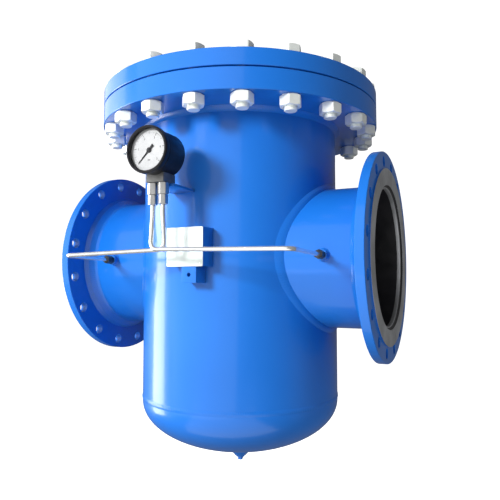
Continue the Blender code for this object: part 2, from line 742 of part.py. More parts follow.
def make_gauge_bezel(finishes):
    """The ring screwed over the case's front, which holds the window."""
    outer = GAUGE_BEZEL_RADIUS
    sight = GAUGE_SIGHT_RADIUS
    pocket = GAUGE_POCKET_RADIUS
    edge = GAUGE_BEZEL_BEVEL
    back = -GAUGE_BEZEL_DEPTH
    seat = -GAUGE_WINDOW_SETBACK
    profile = [(sight, -edge), (sight + edge, 0), (outer - edge, 0), (outer, -edge), (outer, back),
               (pocket, back), (pocket, seat), (sight, seat)]
    gauge_turned("gauge_bezel", profile, finishes["black"])
    glass = pocket - GAP
    front = seat - GAP
    gauge_turned("gauge_window", [(glass, front - GAUGE_WINDOW_THICKNESS), (glass, front)], finishes["glass"],
                 closed=False)


def make_gauge_dial(finishes):
    """The dial plate, held between case and bezel, with the spindle that the pointer turns on."""
    radius = GAUGE_POCKET_RADIUS - GAP
    spindle = SPINDLE / 2
    top = DIAL_FACE + POINTER_LIFT + POINTER_THICKNESS + POINTER_LIFT
    rings = [(radius, -GAUGE_BEZEL_DEPTH), (radius, DIAL_FACE), (spindle, DIAL_FACE), (spindle, top)]
    gauge_turned("gauge_dial", rings, finishes["dial"], closed=False)


def make_pointer(finishes):
    """The pointer with its hub and short tail, bored to turn on the spindle, and at rest on the scale's zero."""
    low = DIAL_FACE + POINTER_LIFT
    high = low + POINTER_THICKNESS
    hub = POINTER_HUB / 2
    bore = SPINDLE / 2 + GAP
    pointer = turned("gauge_pointer", [(bore, low), (hub, low), (hub, high), (bore, high)], finishes["pointer"],
                     HEX_SIDES)
    root = POINTER_WIDTH / 2
    tip = POINTER_TIP_WIDTH / 2
    end = POINTER_TAIL_WIDTH / 2
    start = (bore + hub) / 2
    blade = [(-root, start), (root, start), (tip, POINTER_REACH), (-tip, POINTER_REACH)]
    tail = [(-end, -POINTER_TAIL), (end, -POINTER_TAIL), (root, -start), (-root, -start)]
    bm = bmesh.new()
    for outline in (blade, tail):
        loft_into(bm, [[Vector((x, y, z)) for x, y in outline] for z in (low, high)], False)
    arms = mesh_object("pointer_arms_tool", bm, None)
    turn = FACING_FRONT @ Matrix.Rotation(-POINTER_REST_ANGLE, 4, "Z")
    place(arms, GAUGE_CENTRE, turn)
    place(pointer, GAUGE_CENTRE, turn)
    boolean(pointer, arms, "UNION")


def make_manifold(finishes):
    """The two-port block that carries the gauge, hollowed to fit under its case."""
    half = MANIFOLD_WIDTH / 2
    manifold = box("gauge_manifold", (GAUGE_X - half, MANIFOLD_SETBACK - GAUGE_FRONT, MANIFOLD_BOTTOM),
                   (GAUGE_X + half, -GAUGE_BACK, MANIFOLD_TOP), finishes["stainless"])
    radius = GAUGE_RADIUS + GAP
    case_space = turned("case_cutter", [(radius, -GAUGE_DEPTH - GAUGE_DEPTH), (radius, GAUGE_DEPTH)], None,
                        GAUGE_SIDES, closed=False)
    place(case_space, GAUGE_CENTRE, FACING_FRONT)
    boolean(manifold, case_space, "DIFFERENCE")


def shell_front(x):
    """Where the shell's outer face is in Y, at this X, with the usual gap."""
    return -math.sqrt((SHELL_RADIUS + GAP) ** 2 - x ** 2)


def against_shell(left, right, front):
    """An outline with a straight front edge and a back edge that follows the shell."""
    back = []
    for i in range(SADDLE_STEPS + 1):
        x = right + (left - right) * i / SADDLE_STEPS
        back.append((x, shell_front(x)))
    return [(left, front), (right, front)] + back


def make_gauge_bracket(finishes):
    """The flat bracket that carries the manifold from the shell, short of the fittings."""
    left = GAUGE_X - GAUGE_BRACKET_WIDTH / 2
    front = -TUBE_PLANE + FITTING_BODY_FLATS / math.sqrt(3) + FITTING_CLEARANCE
    top = MANIFOLD_BOTTOM - GAP
    extruded("gauge_bracket", against_shell(left, left + GAUGE_BRACKET_WIDTH, front),
             top - GAUGE_BRACKET_THICKNESS, top, finishes["paint"])


# Impulse tubes


def hex_piece(name, flats, start, end, material, spot):
    """A hexagonal fitting between two heights, with both ends chamfered."""
    low, high = sorted((start, end))
    rings = [
        circle(CHAMFER_SHARE * flats / 2, low, HEX_SIDES),
        chamfered_hexagon(flats, low, -1),
        chamfered_hexagon(flats, high, 1),
        circle(CHAMFER_SHARE * flats / 2, high, HEX_SIDES),
    ]
    place(loft(name, rings, material), *spot)


def make_gauge_fittings(finishes):
    """Under the manifold, for each tube: a hexagonal body and the narrower tube nut below it."""
    steel = finishes["stainless"]
    body_bottom = FITTING_TOP - FITTING_BODY_HEIGHT
    for name, side in (("left", -1), ("right", 1)):
        spot = ((GAUGE_X + side * TUBE_SPACING / 2, -TUBE_PLANE, 0), Matrix.Identity(4))
        hex_piece(f"gauge_fitting_{name}", FITTING_BODY_FLATS, FITTING_TOP, body_bottom, steel, spot)
        hex_piece(f"tube_nut_{name}", FITTING_NUT_FLATS, body_bottom - GAP, FITTING_BOTTOM, steel, spot)


def make_impulse_tube(name, side, finishes):
    """One tube: down from one side of the gauge, across to the other side's nozzle, and back to its port."""
    x = GAUGE_X - side * TUBE_SPACING / 2
    run = -TUBE_PLANE - side * (TUBE_OD + TUBE_CLEARANCE) / 2
    port = -PIPE_RADIUS - GAP - PORT_BOSS_LENGTH - GAP - PORT_NUT_LENGTH - GAP
    top = FITTING_BOTTOM - GAP
    corners = [
        Vector((x, -TUBE_PLANE, top)),
        Vector((x, -TUBE_PLANE, top - TUBE_BEND)),
        Vector((x, run, TUBE_CROSSING_Z)),
        Vector((side * PORT_X, run, TUBE_ELBOW_Z)),
        Vector((side * PORT_X, port, 0)),
    ]
    rod(name, rounded_route(corners, TUBE_BEND), TUBE_OD, finishes["stainless"])


def make_port(name, side, finishes):
    """A welded boss on the nozzle's neck and the tube nut in it."""
    turn = FACING_FRONT
    boss_start = PIPE_RADIUS + GAP
    nut_start = boss_start + PORT_BOSS_LENGTH + GAP
    spot = (side * PORT_X, 0, 0)
    radius = PORT_BOSS_OD / 2
    boss = turned(f"port_boss_{name}", [(radius, boss_start), (radius, boss_start + PORT_BOSS_LENGTH)],
                  finishes["paint"], SMALL_SIDES, closed=False)
    place(boss, spot, turn)
    hex_piece(f"port_nut_{name}", PORT_NUT_FLATS, nut_start, nut_start + PORT_NUT_LENGTH, finishes["stainless"],
              (spot, turn))


# Nameplate and earthing lug


def make_nameplate(finishes):
    """A blank plate on a channel bracket that stands off the shell."""
    right = PLATE_LEFT + PLATE_WIDTH
    top = PLATE_BOTTOM + PLATE_HEIGHT
    back = PLATE_THICKNESS - PLATE_FRONT
    box("nameplate", (PLATE_LEFT, -PLATE_FRONT, PLATE_BOTTOM), (right, back, top), finishes["plate"])
    extruded("nameplate_bracket", channel_outline(PLATE_LEFT, right, back + GAP, STANDOFF_WALL),
             PLATE_BOTTOM, top, finishes["paint"])


def channel_outline(left, right, front, wall):
    """A channel seen from above: a web in front and two legs that reach back to the shell."""
    return [
        (left, front),
        (right, front),
        (right, shell_front(right)),
        (right - wall, shell_front(right - wall)),
        (right - wall, front + wall),
        (left + wall, front + wall),
        (left + wall, shell_front(left + wall)),
        (left, shell_front(left)),
    ]


def make_earthing_lug(finishes):
    """A small channel under the nameplate, with a hole for the earthing bolt."""
    outline = channel_outline(LUG_LEFT, LUG_LEFT + LUG_WIDTH, -PLATE_FRONT, LUG_WALL)
    top = PLATE_BOTTOM - GAP
    lug = extruded("earthing_lug", outline, top - LUG_HEIGHT, top, finishes["paint"])
    hole = LUG_HOLE / 2
    drill = turned("lug_drill", [(hole, PLATE_FRONT - 2 * LUG_WALL), (hole, PLATE_FRONT + LUG_WALL)], None,
                   SMALL_SIDES, closed=False)
    place(drill, (LUG_LEFT + LUG_WIDTH / 2, 0, top - LUG_HEIGHT / 2), FACING_FRONT)
    boolean(lug, drill, "DIFFERENCE")


def main():
    for existing in list(bpy.data.objects):
        bpy.data.objects.remove(existing, do_unlink=True)
    finishes = make_finishes()
    make_shell(finishes)
    make_bottom_head(finishes)
    make_drain(finishes)
    make_body_flange(finishes)
    for name, side in (("inlet", 1), ("outlet", -1)):
        make_nozzle_neck(f"{name}_neck", side, finishes)
        make_nozzle_flange(f"{name}_flange", side, finishes)
        make_impulse_tube(f"{name}_impulse_tube", side, finishes)
        make_port(name, side, finishes)
    make_cover(finishes)
    make_cover_bolts(finishes)
    make_seat(finishes)
    make_basket_rim(finishes)
    make_bail(finishes)
    make_basket_screen(finishes)
    make_basket_floor(finishes)
    make_gauge_case(finishes)
    make_gauge_bezel(finishes)
    make_gauge_dial(finishes)
    make_pointer(finishes)
    make_manifold(finishes)
    make_gauge_bracket(finishes)
    make_gauge_fittings(finishes)
    make_nameplate(finishes)
    make_earthing_lug(finishes)


main()
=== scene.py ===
# %% [markdown]
# A basket strainer catches what a pipeline carries along, before it reaches a pump or a meter. Water
# comes in through one big flanged nozzle, falls into a perforated basket, and leaves through the other
# nozzle. The cover is bolted on, so that the basket can be lifted out and emptied, and a gauge shows how
# far the basket is clogged.
#
# This lesson dresses an engineer's model of one. The model is plain and faceted, but every piece in it
# has its real size and place, so the first step is to load it and never to move it.

import bpy
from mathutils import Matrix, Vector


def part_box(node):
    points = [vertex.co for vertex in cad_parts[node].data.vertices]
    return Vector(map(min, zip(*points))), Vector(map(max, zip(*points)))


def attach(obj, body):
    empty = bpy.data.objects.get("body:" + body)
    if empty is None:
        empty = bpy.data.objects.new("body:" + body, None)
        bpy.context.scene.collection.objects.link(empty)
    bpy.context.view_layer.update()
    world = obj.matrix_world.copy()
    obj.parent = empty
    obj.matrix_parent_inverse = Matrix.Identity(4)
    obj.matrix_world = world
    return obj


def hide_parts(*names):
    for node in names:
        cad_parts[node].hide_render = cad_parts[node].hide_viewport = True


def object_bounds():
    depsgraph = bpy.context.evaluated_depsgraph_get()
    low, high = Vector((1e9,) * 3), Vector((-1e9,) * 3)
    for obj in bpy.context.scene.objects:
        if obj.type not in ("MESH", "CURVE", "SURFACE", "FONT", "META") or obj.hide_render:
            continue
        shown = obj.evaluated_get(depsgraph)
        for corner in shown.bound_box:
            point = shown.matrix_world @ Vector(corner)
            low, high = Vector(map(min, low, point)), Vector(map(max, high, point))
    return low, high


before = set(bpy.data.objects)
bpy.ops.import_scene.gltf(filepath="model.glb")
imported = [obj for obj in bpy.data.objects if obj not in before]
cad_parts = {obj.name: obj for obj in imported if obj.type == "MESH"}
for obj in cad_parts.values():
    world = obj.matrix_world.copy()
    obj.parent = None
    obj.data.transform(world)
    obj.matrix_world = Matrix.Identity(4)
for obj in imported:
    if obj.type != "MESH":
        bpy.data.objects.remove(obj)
cad_low, cad_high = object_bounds()

# %% The tools of Blender and Python
import math

import bmesh
import bpy
from mathutils import Matrix, Vector

# %% [markdown]
# ## The camera
# Such a piece is photographed from a little below its middle, from the inlet side, with a short lens.
# Setting the camera first means that every later look at the render is the right look. The lens is given
# for Blender's sensor width of 36 mm, and nothing is shifted or thrown out of focus.

# %% Place the camera
CAMERA_PLACE = (0.6647, -1.3308, -0.0655)
CAMERA_RISE = math.radians(3.655)
CAMERA_TURN = math.radians(25.53)
CAMERA_LENS = 38.13

lens = bpy.data.cameras.new("camera")
lens.lens = CAMERA_LENS
camera = bpy.data.objects.new("camera", lens)
camera.location = CAMERA_PLACE
camera.rotation_euler = (math.pi / 2 + CAMERA_RISE, 0, CAMERA_TURN)
bpy.context.scene.collection.objects.link(camera)
bpy.context.scene.camera = camera
bpy.context.scene.view_settings.view_transform = "Standard"
print("camera at", CAMERA_PLACE)

# %% [markdown]
# ## The studio
# Glossy paint shows what stands around it, so the studio is half of the finish. Six lamps share the work:
#
# - front, a very broad box: even light on the fronts, and its edge draws the soft step down the shell
# - key, a small lamp inside that box, without gloss: it only gives the shadows an edge
# - strip, tall and to the left: the narrow white line down the shell
# - wing, further round to the left and higher: the left edges of the rims
# - bounce, from below: the dished head and the undersides of the flanges
# - fill, on the right and without gloss: just enough light to keep the dark side's shape

# %% Lamps
AMBIENT = 0.14
WHITE = (1, 1, 1, 1)
LIGHTS = {
    "key": dict(azimuth=-19, elevation=17, distance=4.2, size=(0.8, 0.8), power=218, gloss=False),
    "front": dict(azimuth=-16, elevation=14, distance=4.0, size=(7.0, 6.0), power=120, gloss=True),
    "strip": dict(azimuth=-77, elevation=-4, distance=3.4, size=(1.3, 2.8), power=106, gloss=True),
    "wing": dict(azimuth=-96, elevation=24, distance=3.6, size=(2.8, 1.6), power=22, gloss=True),
    "bounce": dict(azimuth=8, elevation=-52, distance=3.2, size=(4.6, 4.0), power=60, gloss=True),
    "fill": dict(azimuth=98, elevation=-5, distance=3.6, size=(2.5, 4.0), power=30, gloss=False),
}


def direction(azimuth, elevation):
    """A unit vector from the piece outwards. Azimuth 0 is straight in front, and 90 is on the inlet side."""
    level = math.cos(math.radians(elevation))
    around = math.radians(azimuth)
    return Vector((math.sin(around) * level, -math.cos(around) * level, math.sin(math.radians(elevation))))


def add_light(name, azimuth, elevation, distance, size, power, gloss):
    """A rectangular softbox that faces the middle of the piece. Only those with gloss show in the paint."""
    lamp = bpy.data.lights.new(name, "AREA")
    lamp.shape = "RECTANGLE"
    lamp.size, lamp.size_y = size
    lamp.energy = power
    box = bpy.data.objects.new(name, lamp)
    way = direction(azimuth, elevation)
    box.location = way * distance
    box.rotation_euler = way.to_track_quat("Z", "Y").to_euler()
    box.visible_camera = False
    box.visible_glossy = gloss
    bpy.context.scene.collection.objects.link(box)


for lamp_name, lamp in LIGHTS.items():
    add_light(lamp_name, **lamp)

ambient = bpy.data.worlds.new("ambient")
ambient.use_nodes = True
ambient.node_tree.nodes["Background"].inputs["Color"].default_value = WHITE
ambient.node_tree.nodes["Background"].inputs["Strength"].default_value = AMBIENT
bpy.context.scene.world = ambient
print(len(LIGHTS), "lamps")

# %% [markdown]
# The room is white to the eye only, so that the sides and undersides stay dark. The floor lies well
# below, because such a strainer hangs between its two pipes and stands on nothing.

# %% Floor and room
FLOOR_DROP = 0.60
FLOOR_SIZE = 80.0
ROOM_RADIUS = 30.0
PAPER = (0.9, 0.9, 0.9, 1)
GLOW = 1.0


def fresh(add, **settings):
    """Adds a primitive while nothing else is selected."""
    bpy.ops.object.select_all(action="DESELECT")
    add(**settings)
    return bpy.context.object


def for_the_eye(piece, name):
    """A matt, glowing white part of the room. Only the camera sees it, so it gives the object no light."""
    piece.name = name
    white = bpy.data.materials.new(f"{name}_white")
    white.use_nodes = True
    sockets = white.node_tree.nodes["Principled BSDF"].inputs
    sockets["Base Color"].default_value = PAPER
    sockets["Roughness"].default_value = 1.0
    sockets["Emission Color"].default_value = WHITE
    sockets["Emission Strength"].default_value = GLOW
    piece.data.materials.append(white)
    piece.visible_diffuse = False
    piece.visible_glossy = False
    piece.visible_transmission = False
    piece.visible_shadow = False


for_the_eye(fresh(bpy.ops.mesh.primitive_plane_add, size=FLOOR_SIZE,
                  location=(0, 0, cad_low.z - FLOOR_DROP)), "floor")
for_the_eye(fresh(bpy.ops.mesh.primitive_uv_sphere_add, segments=32, ring_count=16,
                  radius=ROOM_RADIUS), "room")
print(f"floor {FLOOR_DROP} m below the piece, room {ROOM_RADIUS} m in radius")

# %% [markdown]
# ## Sizes taken from the frame
# A node's box gives where it is and how big it is. What a box can't tell, such as the height of a weld
# that stands on the shell, is a value of its own. GAP is the hair's breadth that is left between
# neighbours, so that their faces don't flicker through each other.

# %% Measure what the pieces are built on
GAP = 0.0003
SHELL_WALL = 0.010
PIPE_WALL = 0.0078
SEAM_WIDTH = 0.013
SEAM_HEIGHT = 0.0013
NOZZLE_LEG = 0.011

shell_low, shell_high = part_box("shell")
head_low, head_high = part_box("bottom_head")
flange_low, flange_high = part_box("body_flange")
cover_low, cover_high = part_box("cover_plate")
bolt_low, bolt_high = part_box("cover_bolt_01")
neck_low, neck_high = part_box("inlet_neck")
nozzle_low, nozzle_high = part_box("inlet_flange")

SHELL_RADIUS = shell_high.x - SEAM_HEIGHT
SHELL_INSIDE = SHELL_RADIUS - SHELL_WALL
PIPE_RADIUS = neck_high.z - NOZZLE_LEG
BORE_RADIUS = PIPE_RADIUS - PIPE_WALL
COVER_RADIUS = cover_high.x
print(f"shell {SHELL_RADIUS:.4f}, pipe {PIPE_RADIUS:.4f}, cover {COVER_RADIUS:.4f} m in radius")

# %% [markdown]
# ## Working by hand, from code
# Blender's edit-mode operators act on what is selected, as they do under the mouse. These helpers do the
# clicking: pick one object, open its mesh with nothing selected, choose vertices, edges or faces by where
# they are, and close the mesh again.

# %% Picking and choosing
def pick(piece):
    """Makes one piece the only selected and active one."""
    bpy.ops.object.select_all(action="DESELECT")
    piece.select_set(True)
    bpy.context.view_layer.objects.active = piece


def open_mesh(piece, kind="VERT"):
    """Opens a piece in edit mode with nothing selected."""
    pick(piece)
    bpy.ops.object.mode_set(mode="EDIT")
    bpy.ops.mesh.select_mode(type=kind)
    bpy.ops.mesh.select_all(action="DESELECT")


def close_mesh():
    bpy.ops.object.mode_set(mode="OBJECT")


def choose(piece, kind, test):
    """In the open mesh, selects the vertices, edges or faces that pass a test, and counts them."""
    mesh = bmesh.from_edit_mesh(piece.data)
    parts = {"VERT": mesh.verts, "EDGE": mesh.edges, "FACE": mesh.faces}[kind]
    chosen = 0
    for part in parts:
        if test(part):
            part.select_set(True)
            chosen += 1
    bmesh.update_edit_mesh(piece.data)
    return chosen


def settle(piece, place=(0, 0, 0), turn=(0, 0, 0)):
    """Places and turns a piece, and bakes both into its mesh, so that its origin is the frame's."""
    pick(piece)
    piece.location = place
    piece.rotation_euler = [math.radians(angle) for angle in turn]
    bpy.ops.object.transform_apply(location=True, rotation=True, scale=True)
    return piece


def box_piece(name, low, high):
    """A cube stretched between two corners."""
    piece = fresh(bpy.ops.mesh.primitive_cube_add, size=1)
    piece.name = name
    piece.scale = high - low
    return settle(piece, (low + high) / 2)


def twin(piece, name):
    """A copy with its own mesh."""
    copy = piece.copy()
    copy.data = piece.data.copy()
    copy.name = name
    bpy.context.scene.collection.objects.link(copy)
    return copy


# %% [markdown]
# ## The lathe
# Most pieces of a pressure vessel are round: shell, head, flanges, bosses, gauge case. A lathe makes such
# a piece from its half section. A corner of the section can carry a radius, because no real edge is
# perfectly sharp and it is the rounded edge that catches the light.

# %% Sections
CORNER_STEPS = 3
EDGE = 0.001


def corner_arc(before, here, after, radius, steps):
    """Points of the arc that rounds the corner between two straight runs."""
    back = (before - here).normalized()
    on = (after - here).normalized()
    half = back.angle(on) / 2
    centre = here + (back + on).normalized() * radius / math.sin(half)
    first = here + back * radius / math.tan(half) - centre
    last = here + on * radius / math.tan(half) - centre
    return [centre + first.slerp(last, k / steps) * radius for k in range(steps + 1)]


def section(corners):
    """The points of a half section from (radius, height) corners. A third number rounds a corner."""
    points = [Vector((corner[0], 0, corner[1])) for corner in corners]
    outline = []
    for i, (_, _, *rounding) in enumerate(corners):
        if any(rounding):
            after = points[(i + 1) % len(points)]
            outline += corner_arc(points[i - 1], points[i], after, rounding[0], CORNER_STEPS)
        else:
            outline.append(points[i])
    return outline


# %% [markdown]
# To turn a piece, one vertex is extruded from the next along its section, and the chain is spun round
# the vertical axis. Each kind of piece has its own count of facets, so that none shows.

# %% Turning
VESSEL_FACETS = 256
FLANGE_FACETS = 192
NECK_FACETS = 160
GAUGE_FACETS = 128
DISC_FACETS = 96
FITTING_FACETS = 72
BOSS_FACETS = 64
BOLT_FACETS = 48
PIN_FACETS = 32
RIVET_FACETS = 24
MERGE_LIMIT = 0.000005


def chain(outline):
    """A new piece, open in edit mode, with one vertex extruded from the next along the points."""
    piece = fresh(bpy.ops.mesh.primitive_plane_add, size=MERGE_LIMIT)
    bpy.ops.object.mode_set(mode="EDIT")
    bpy.ops.mesh.select_mode(type="VERT")
    bpy.ops.mesh.select_all(action="SELECT")
    bpy.ops.mesh.merge(type="CENTER")
    bpy.ops.transform.translate(value=outline[0])
    for start, end in zip(outline, outline[1:]):
        bpy.ops.mesh.extrude_vertices_move(TRANSFORM_OT_translate={"value": end - start})
    return piece


def turn_section(name, corners, facets, closed=True):
    """Spins a half section round the vertical axis. A closed section goes round a hole in the middle."""
    piece = chain(section(corners))
    piece.name = name
    if closed:
        mesh = bmesh.from_edit_mesh(piece.data)
        for vertex in mesh.verts:
            vertex.select_set(len(vertex.link_edges) == 1)
        bmesh.update_edit_mesh(piece.data)
        bpy.ops.mesh.edge_face_add()
    bpy.ops.mesh.select_all(action="SELECT")
    bpy.ops.mesh.spin(steps=facets, angle=math.tau, center=(0, 0, 0), axis=(0, 0, 1))
    bpy.ops.mesh.select_all(action="SELECT")
    bpy.ops.mesh.remove_doubles(threshold=MERGE_LIMIT)
    bpy.ops.mesh.normals_make_consistent(inside=False)
    close_mesh()
    return piece


def ring(name, inside, outside, low, high, facets, outer=(0, 0), inner=0):
    """Turns a ring, or a disc where the inside is 0. Outer rounds its lower and upper outer edge, and inner
    the edges of its hole."""
    return turn_section(name, [
        (inside, low, inner), (outside, low, outer[0]), (outside, high, outer[1]), (inside, high, inner),
    ], facets, closed=inside > 0)


# %% [markdown]
# ## Cutting and joining
# Holes are cut with a pin that has the drill's own countersink turned on it, so that the edge of each
# hole comes out with its small chamfer in the same cut. Hexagons are cut from turned blanks, as a
# machinist mills them: the blank's cone then leaves the curved chamfer that every real nut has.

# %% Boolean cuts
HEX_EDGE = 0.0005
CONE_START = 0.475
CONE_BLANK = 0.60
CONE_SLOPE = math.tan(math.pi / 6)


def cut(piece, tool, operation="DIFFERENCE"):
    """Applies a Boolean with a tool, and throws the tool away."""
    pick(piece)
    modifier = piece.modifiers.new("cut", "BOOLEAN")
    modifier.operation = operation
    modifier.solver = "EXACT"
    modifier.object = tool
    bpy.ops.object.modifier_apply(modifier="cut")
    bpy.data.objects.remove(tool)
    return piece


def joined(pieces):
    """Joins pieces into the first one."""
    bpy.ops.object.select_all(action="DESELECT")
    for piece in pieces:
        piece.select_set(True)
    bpy.context.view_layer.objects.active = pieces[0]
    bpy.ops.object.join()
    return pieces[0]


def on_circle(piece, name, count, radius):
    """Copies of a piece on a bolt circle that straddles the centrelines."""
    copies = []
    for i in range(count):
        angle = math.tau * (i + 0.5) / count
        copy = twin(piece, f"{name}_{i + 1:02d}")
        copy.data.transform(Matrix.Rotation(angle, 4, "Z") @ Matrix.Translation((radius, 0, 0)))
        copies.append(copy)
    bpy.data.objects.remove(piece)
    return copies


def drill(piece, count, circle, hole, bottom, top, chamfer):
    """Drills a bolt circle through a piece, with a countersink at both faces."""
    reach = chamfer + hole
    pin = turn_section("pin", [
        (0, bottom - hole), (reach, bottom - hole), (reach, bottom), (hole, bottom + chamfer),
        (hole, top - chamfer), (reach, top), (reach, top + hole), (0, top + hole),
    ], PIN_FACETS, closed=False)
    return cut(piece, joined(on_circle(pin, "pin", count, circle)))


def mill_hexagon(piece, flats, low, high):
    """Mills a turned blank to a hexagon between two heights, with flats that face along X."""
    prism = fresh(bpy.ops.mesh.primitive_cylinder_add, vertices=6, radius=flats / 2 / math.cos(math.pi / 6),
                  depth=high - low + 2 * flats, location=(0, 0, (low + high) / 2))
    open_mesh(prism, "EDGE")
    choose(prism, "EDGE", lambda e: abs(e.verts[0].co.z - e.verts[1].co.z) > flats)
    bpy.ops.mesh.bevel(offset=HEX_EDGE, segments=2, affect="EDGES")
    close_mesh()
    return cut(piece, prism, "INTERSECT")


def hex_cone(flats, face, inwards):
    """Where a 30 degree chamfer starts on an end face and where it leaves the blank: two section corners."""
    start = CONE_START * flats
    blank = CONE_BLANK * flats
    return (start, face), (blank, face + inwards * (blank - start) * CONE_SLOPE)


# %% [markdown]
# ## Welds
# A fillet weld is laid in small overlapping puddles, and even under paint the run keeps their ripple.
# Each run here is a bead's section spun round its joint, with every third slice drawn in by a fraction of
# a millimetre. Its root lies a little inside the joint, so that no gap shows. Where a pipe meets the
# shell, the finished ring is bent to the curve of that joint.

# %% Weld beads
DEEP_ROOT = 0.002
ROOT = 0.001
RIPPLE_PITCH = 0.0055
RIPPLE_STEPS = 3
RIPPLE_DEPTH = 0.0005
BEAD_STEPS = 6


def bead_face(start, end, bulge):
    """Points of a bead's bulging face between its two toes."""
    along = Vector((end[0] - start[0], end[1] - start[1]))
    out = Vector((along.y, -along.x)).normalized() * bulge
    points = []
    for i in range(BEAD_STEPS + 1):
        share = i / BEAD_STEPS
        lift = math.sin(math.pi * share)
        points.append((start[0] + along.x * share + out.x * lift,
                       start[1] + along.y * share + out.y * lift))
    return points


def weld_ring(name, corners, radius):
    """Spins a bead's section into a ring of ripples."""
    steps = round(math.tau * radius / RIPPLE_PITCH) * RIPPLE_STEPS
    bead = turn_section(name, corners, steps)
    open_mesh(bead)
    slice_angle = math.tau / steps
    choose(bead, "VERT", lambda v: round(math.atan2(v.co.y, v.co.x) / slice_angle) % RIPPLE_STEPS == 0)
    bpy.ops.transform.shrink_fatten(value=-RIPPLE_DEPTH)
    close_mesh()
    return bead


# %% [markdown]
# ## Finishes
# Every finish is a Principled shader with its own small irregularities, driven by noise in the piece's own
# coordinates: the colour drifts between two tones, the roughness between two values, and a fine relief stirs
# the gloss. One function builds them all. A grain is the noise's scale, then its detail, and then a stretch
# that draws it out into streaks.

# %% Shader helpers
NOISE_LOW = 0.3
NOISE_HIGH = 0.7


def speckle(tree, scale, detail=2.0, stretch=(1, 1, 1)):
    """Noise in the piece's own coordinates."""
    where = tree.nodes.new("ShaderNodeTexCoord")
    mapping = tree.nodes.new("ShaderNodeMapping")
    mapping.inputs["Scale"].default_value = stretch
    noise = tree.nodes.new("ShaderNodeTexNoise")
    noise.inputs["Scale"].default_value = scale
    noise.inputs["Detail"].default_value = detail
    tree.links.new(where.outputs["Object"], mapping.inputs["Vector"])
    tree.links.new(mapping.outputs["Vector"], noise.inputs["Vector"])
    return noise.outputs["Fac"]


def tone(tree, factor, dark, light):
    """Turns a grey factor into a colour between two."""
    node = tree.nodes.new("ShaderNodeValToRGB")
    for i, position, colour in ((0, NOISE_LOW, dark), (1, NOISE_HIGH, light)):
        node.color_ramp.elements[i].position = position
        node.color_ramp.elements[i].color = (*colour, 1)
    tree.links.new(factor, node.inputs["Fac"])
    return node.outputs["Color"]


def between(tree, factor, low, high):
    """Turns a grey factor into a value between two."""
    node = tree.nodes.new("ShaderNodeMapRange")
    node.inputs["From Min"].default_value = NOISE_LOW
    node.inputs["From Max"].default_value = NOISE_HIGH
    node.inputs["To Min"].default_value = low
    node.inputs["To Max"].default_value = high
    tree.links.new(factor, node.inputs["Value"])
    return node.outputs["Result"]


def bump(tree, height, distance):
    """Raises the surface by a height map, in metres at full height."""
    node = tree.nodes.new("ShaderNodeBump")
    node.inputs["Distance"].default_value = distance
    tree.links.new(height, node.inputs["Height"])
    tree.links.new(node.outputs["Normal"], tree.nodes["Principled BSDF"].inputs["Normal"])


def new_finish(name, slot, rough, rough_grain, tones=None, tone_grain=(), relief=0.0, relief_grain=(),
               **constants):
    """A finish with its roughness, tones and relief. Constants are set on the shader's own sockets."""
    material = bpy.data.materials.new(name)
    material.use_nodes = True
    tree = material.node_tree
    sockets = tree.nodes["Principled BSDF"].inputs
    for socket, value in constants.items():
        sockets[socket.replace("_", " ")].default_value = value
    if tones:
        tree.links.new(tone(tree, speckle(tree, *tone_grain), *tones), sockets["Base Color"])
    tree.links.new(between(tree, speckle(tree, *rough_grain), *rough), sockets["Roughness"])
    if relief:
        bump(tree, speckle(tree, *relief_grain), relief)
    return material


# %% [markdown]
# The enamel is sprayed and baked, so it has a clear gloss over the colour, a faint orange peel, and a colour
# that drifts by a few percent from one coat to the next. The wetted inside is finished near black instead.

# %% Enamel and the dark inside
ENAMEL = new_finish(
    "blue_enamel", "blue_paint", rough=(0.30, 0.40), rough_grain=(9.0,),
    tones=((0.007, 0.128, 0.51), (0.010, 0.150, 0.575)), tone_grain=(2.2, 3.0),
    relief=0.00012, relief_grain=(320.0, 1.0), Specular_IOR_Level=0.3, Coat_Weight=0.5, Coat_Roughness=0.12,
)
# The near-black finish for the surfaces inside the vessel and its nozzles.
DARK_INSIDE = new_finish(
    "dark_inside", "blue_paint", rough=(0.28, 0.5), rough_grain=(30.0,),
    tones=((0.006, 0.006, 0.008), (0.016, 0.016, 0.02)), tone_grain=(6.0, 4.0),
    relief=0.0003, relief_grain=(120.0, 2.0), Coat_Weight=0.3, Coat_Roughness=0.2,
)

# %% [markdown]
# The metals differ in tone and grain. Nuts and bolts are zinc-plated, pale and half matt. Tubes and
# rivets are bright drawn steel, the basket and the tube fittings are brushed stainless, and the block
# under the gauge is dull and dark. Small nuts have a thin black oxide that rubs off to grey. The
# nameplate is anodised and brushed along its length.

# %% Metals
ZINC = new_finish(
    "zinc_plate", "zinc_plate", rough=(0.30, 0.42), rough_grain=(140.0,),
    tones=((0.84, 0.88, 0.84), (0.93, 0.96, 0.93)), tone_grain=(60.0, 4.0),
    relief=0.00003, relief_grain=(260.0, 1.0), Metallic=0.4,
)
STEEL = new_finish(
    "bright_steel", "stainless_steel", rough=(0.14, 0.26), rough_grain=(200.0,),
    tones=((0.84, 0.85, 0.83), (0.93, 0.93, 0.92)), tone_grain=(40.0, 3.0),
    relief=0.00003, relief_grain=(700.0, 2.0, (1, 1, 0.1)), Metallic=0.8,
)
SHEET = new_finish(
    "brushed_sheet", "stainless_steel", rough=(0.24, 0.40), rough_grain=(300.0, 3.0, (1, 1, 0.06)),
    tones=((0.52, 0.53, 0.53), (0.66, 0.66, 0.65)), tone_grain=(25.0, 3.0),
    relief=0.00005, relief_grain=(500.0, 2.0, (1, 1, 0.05)), Metallic=1.0,
)
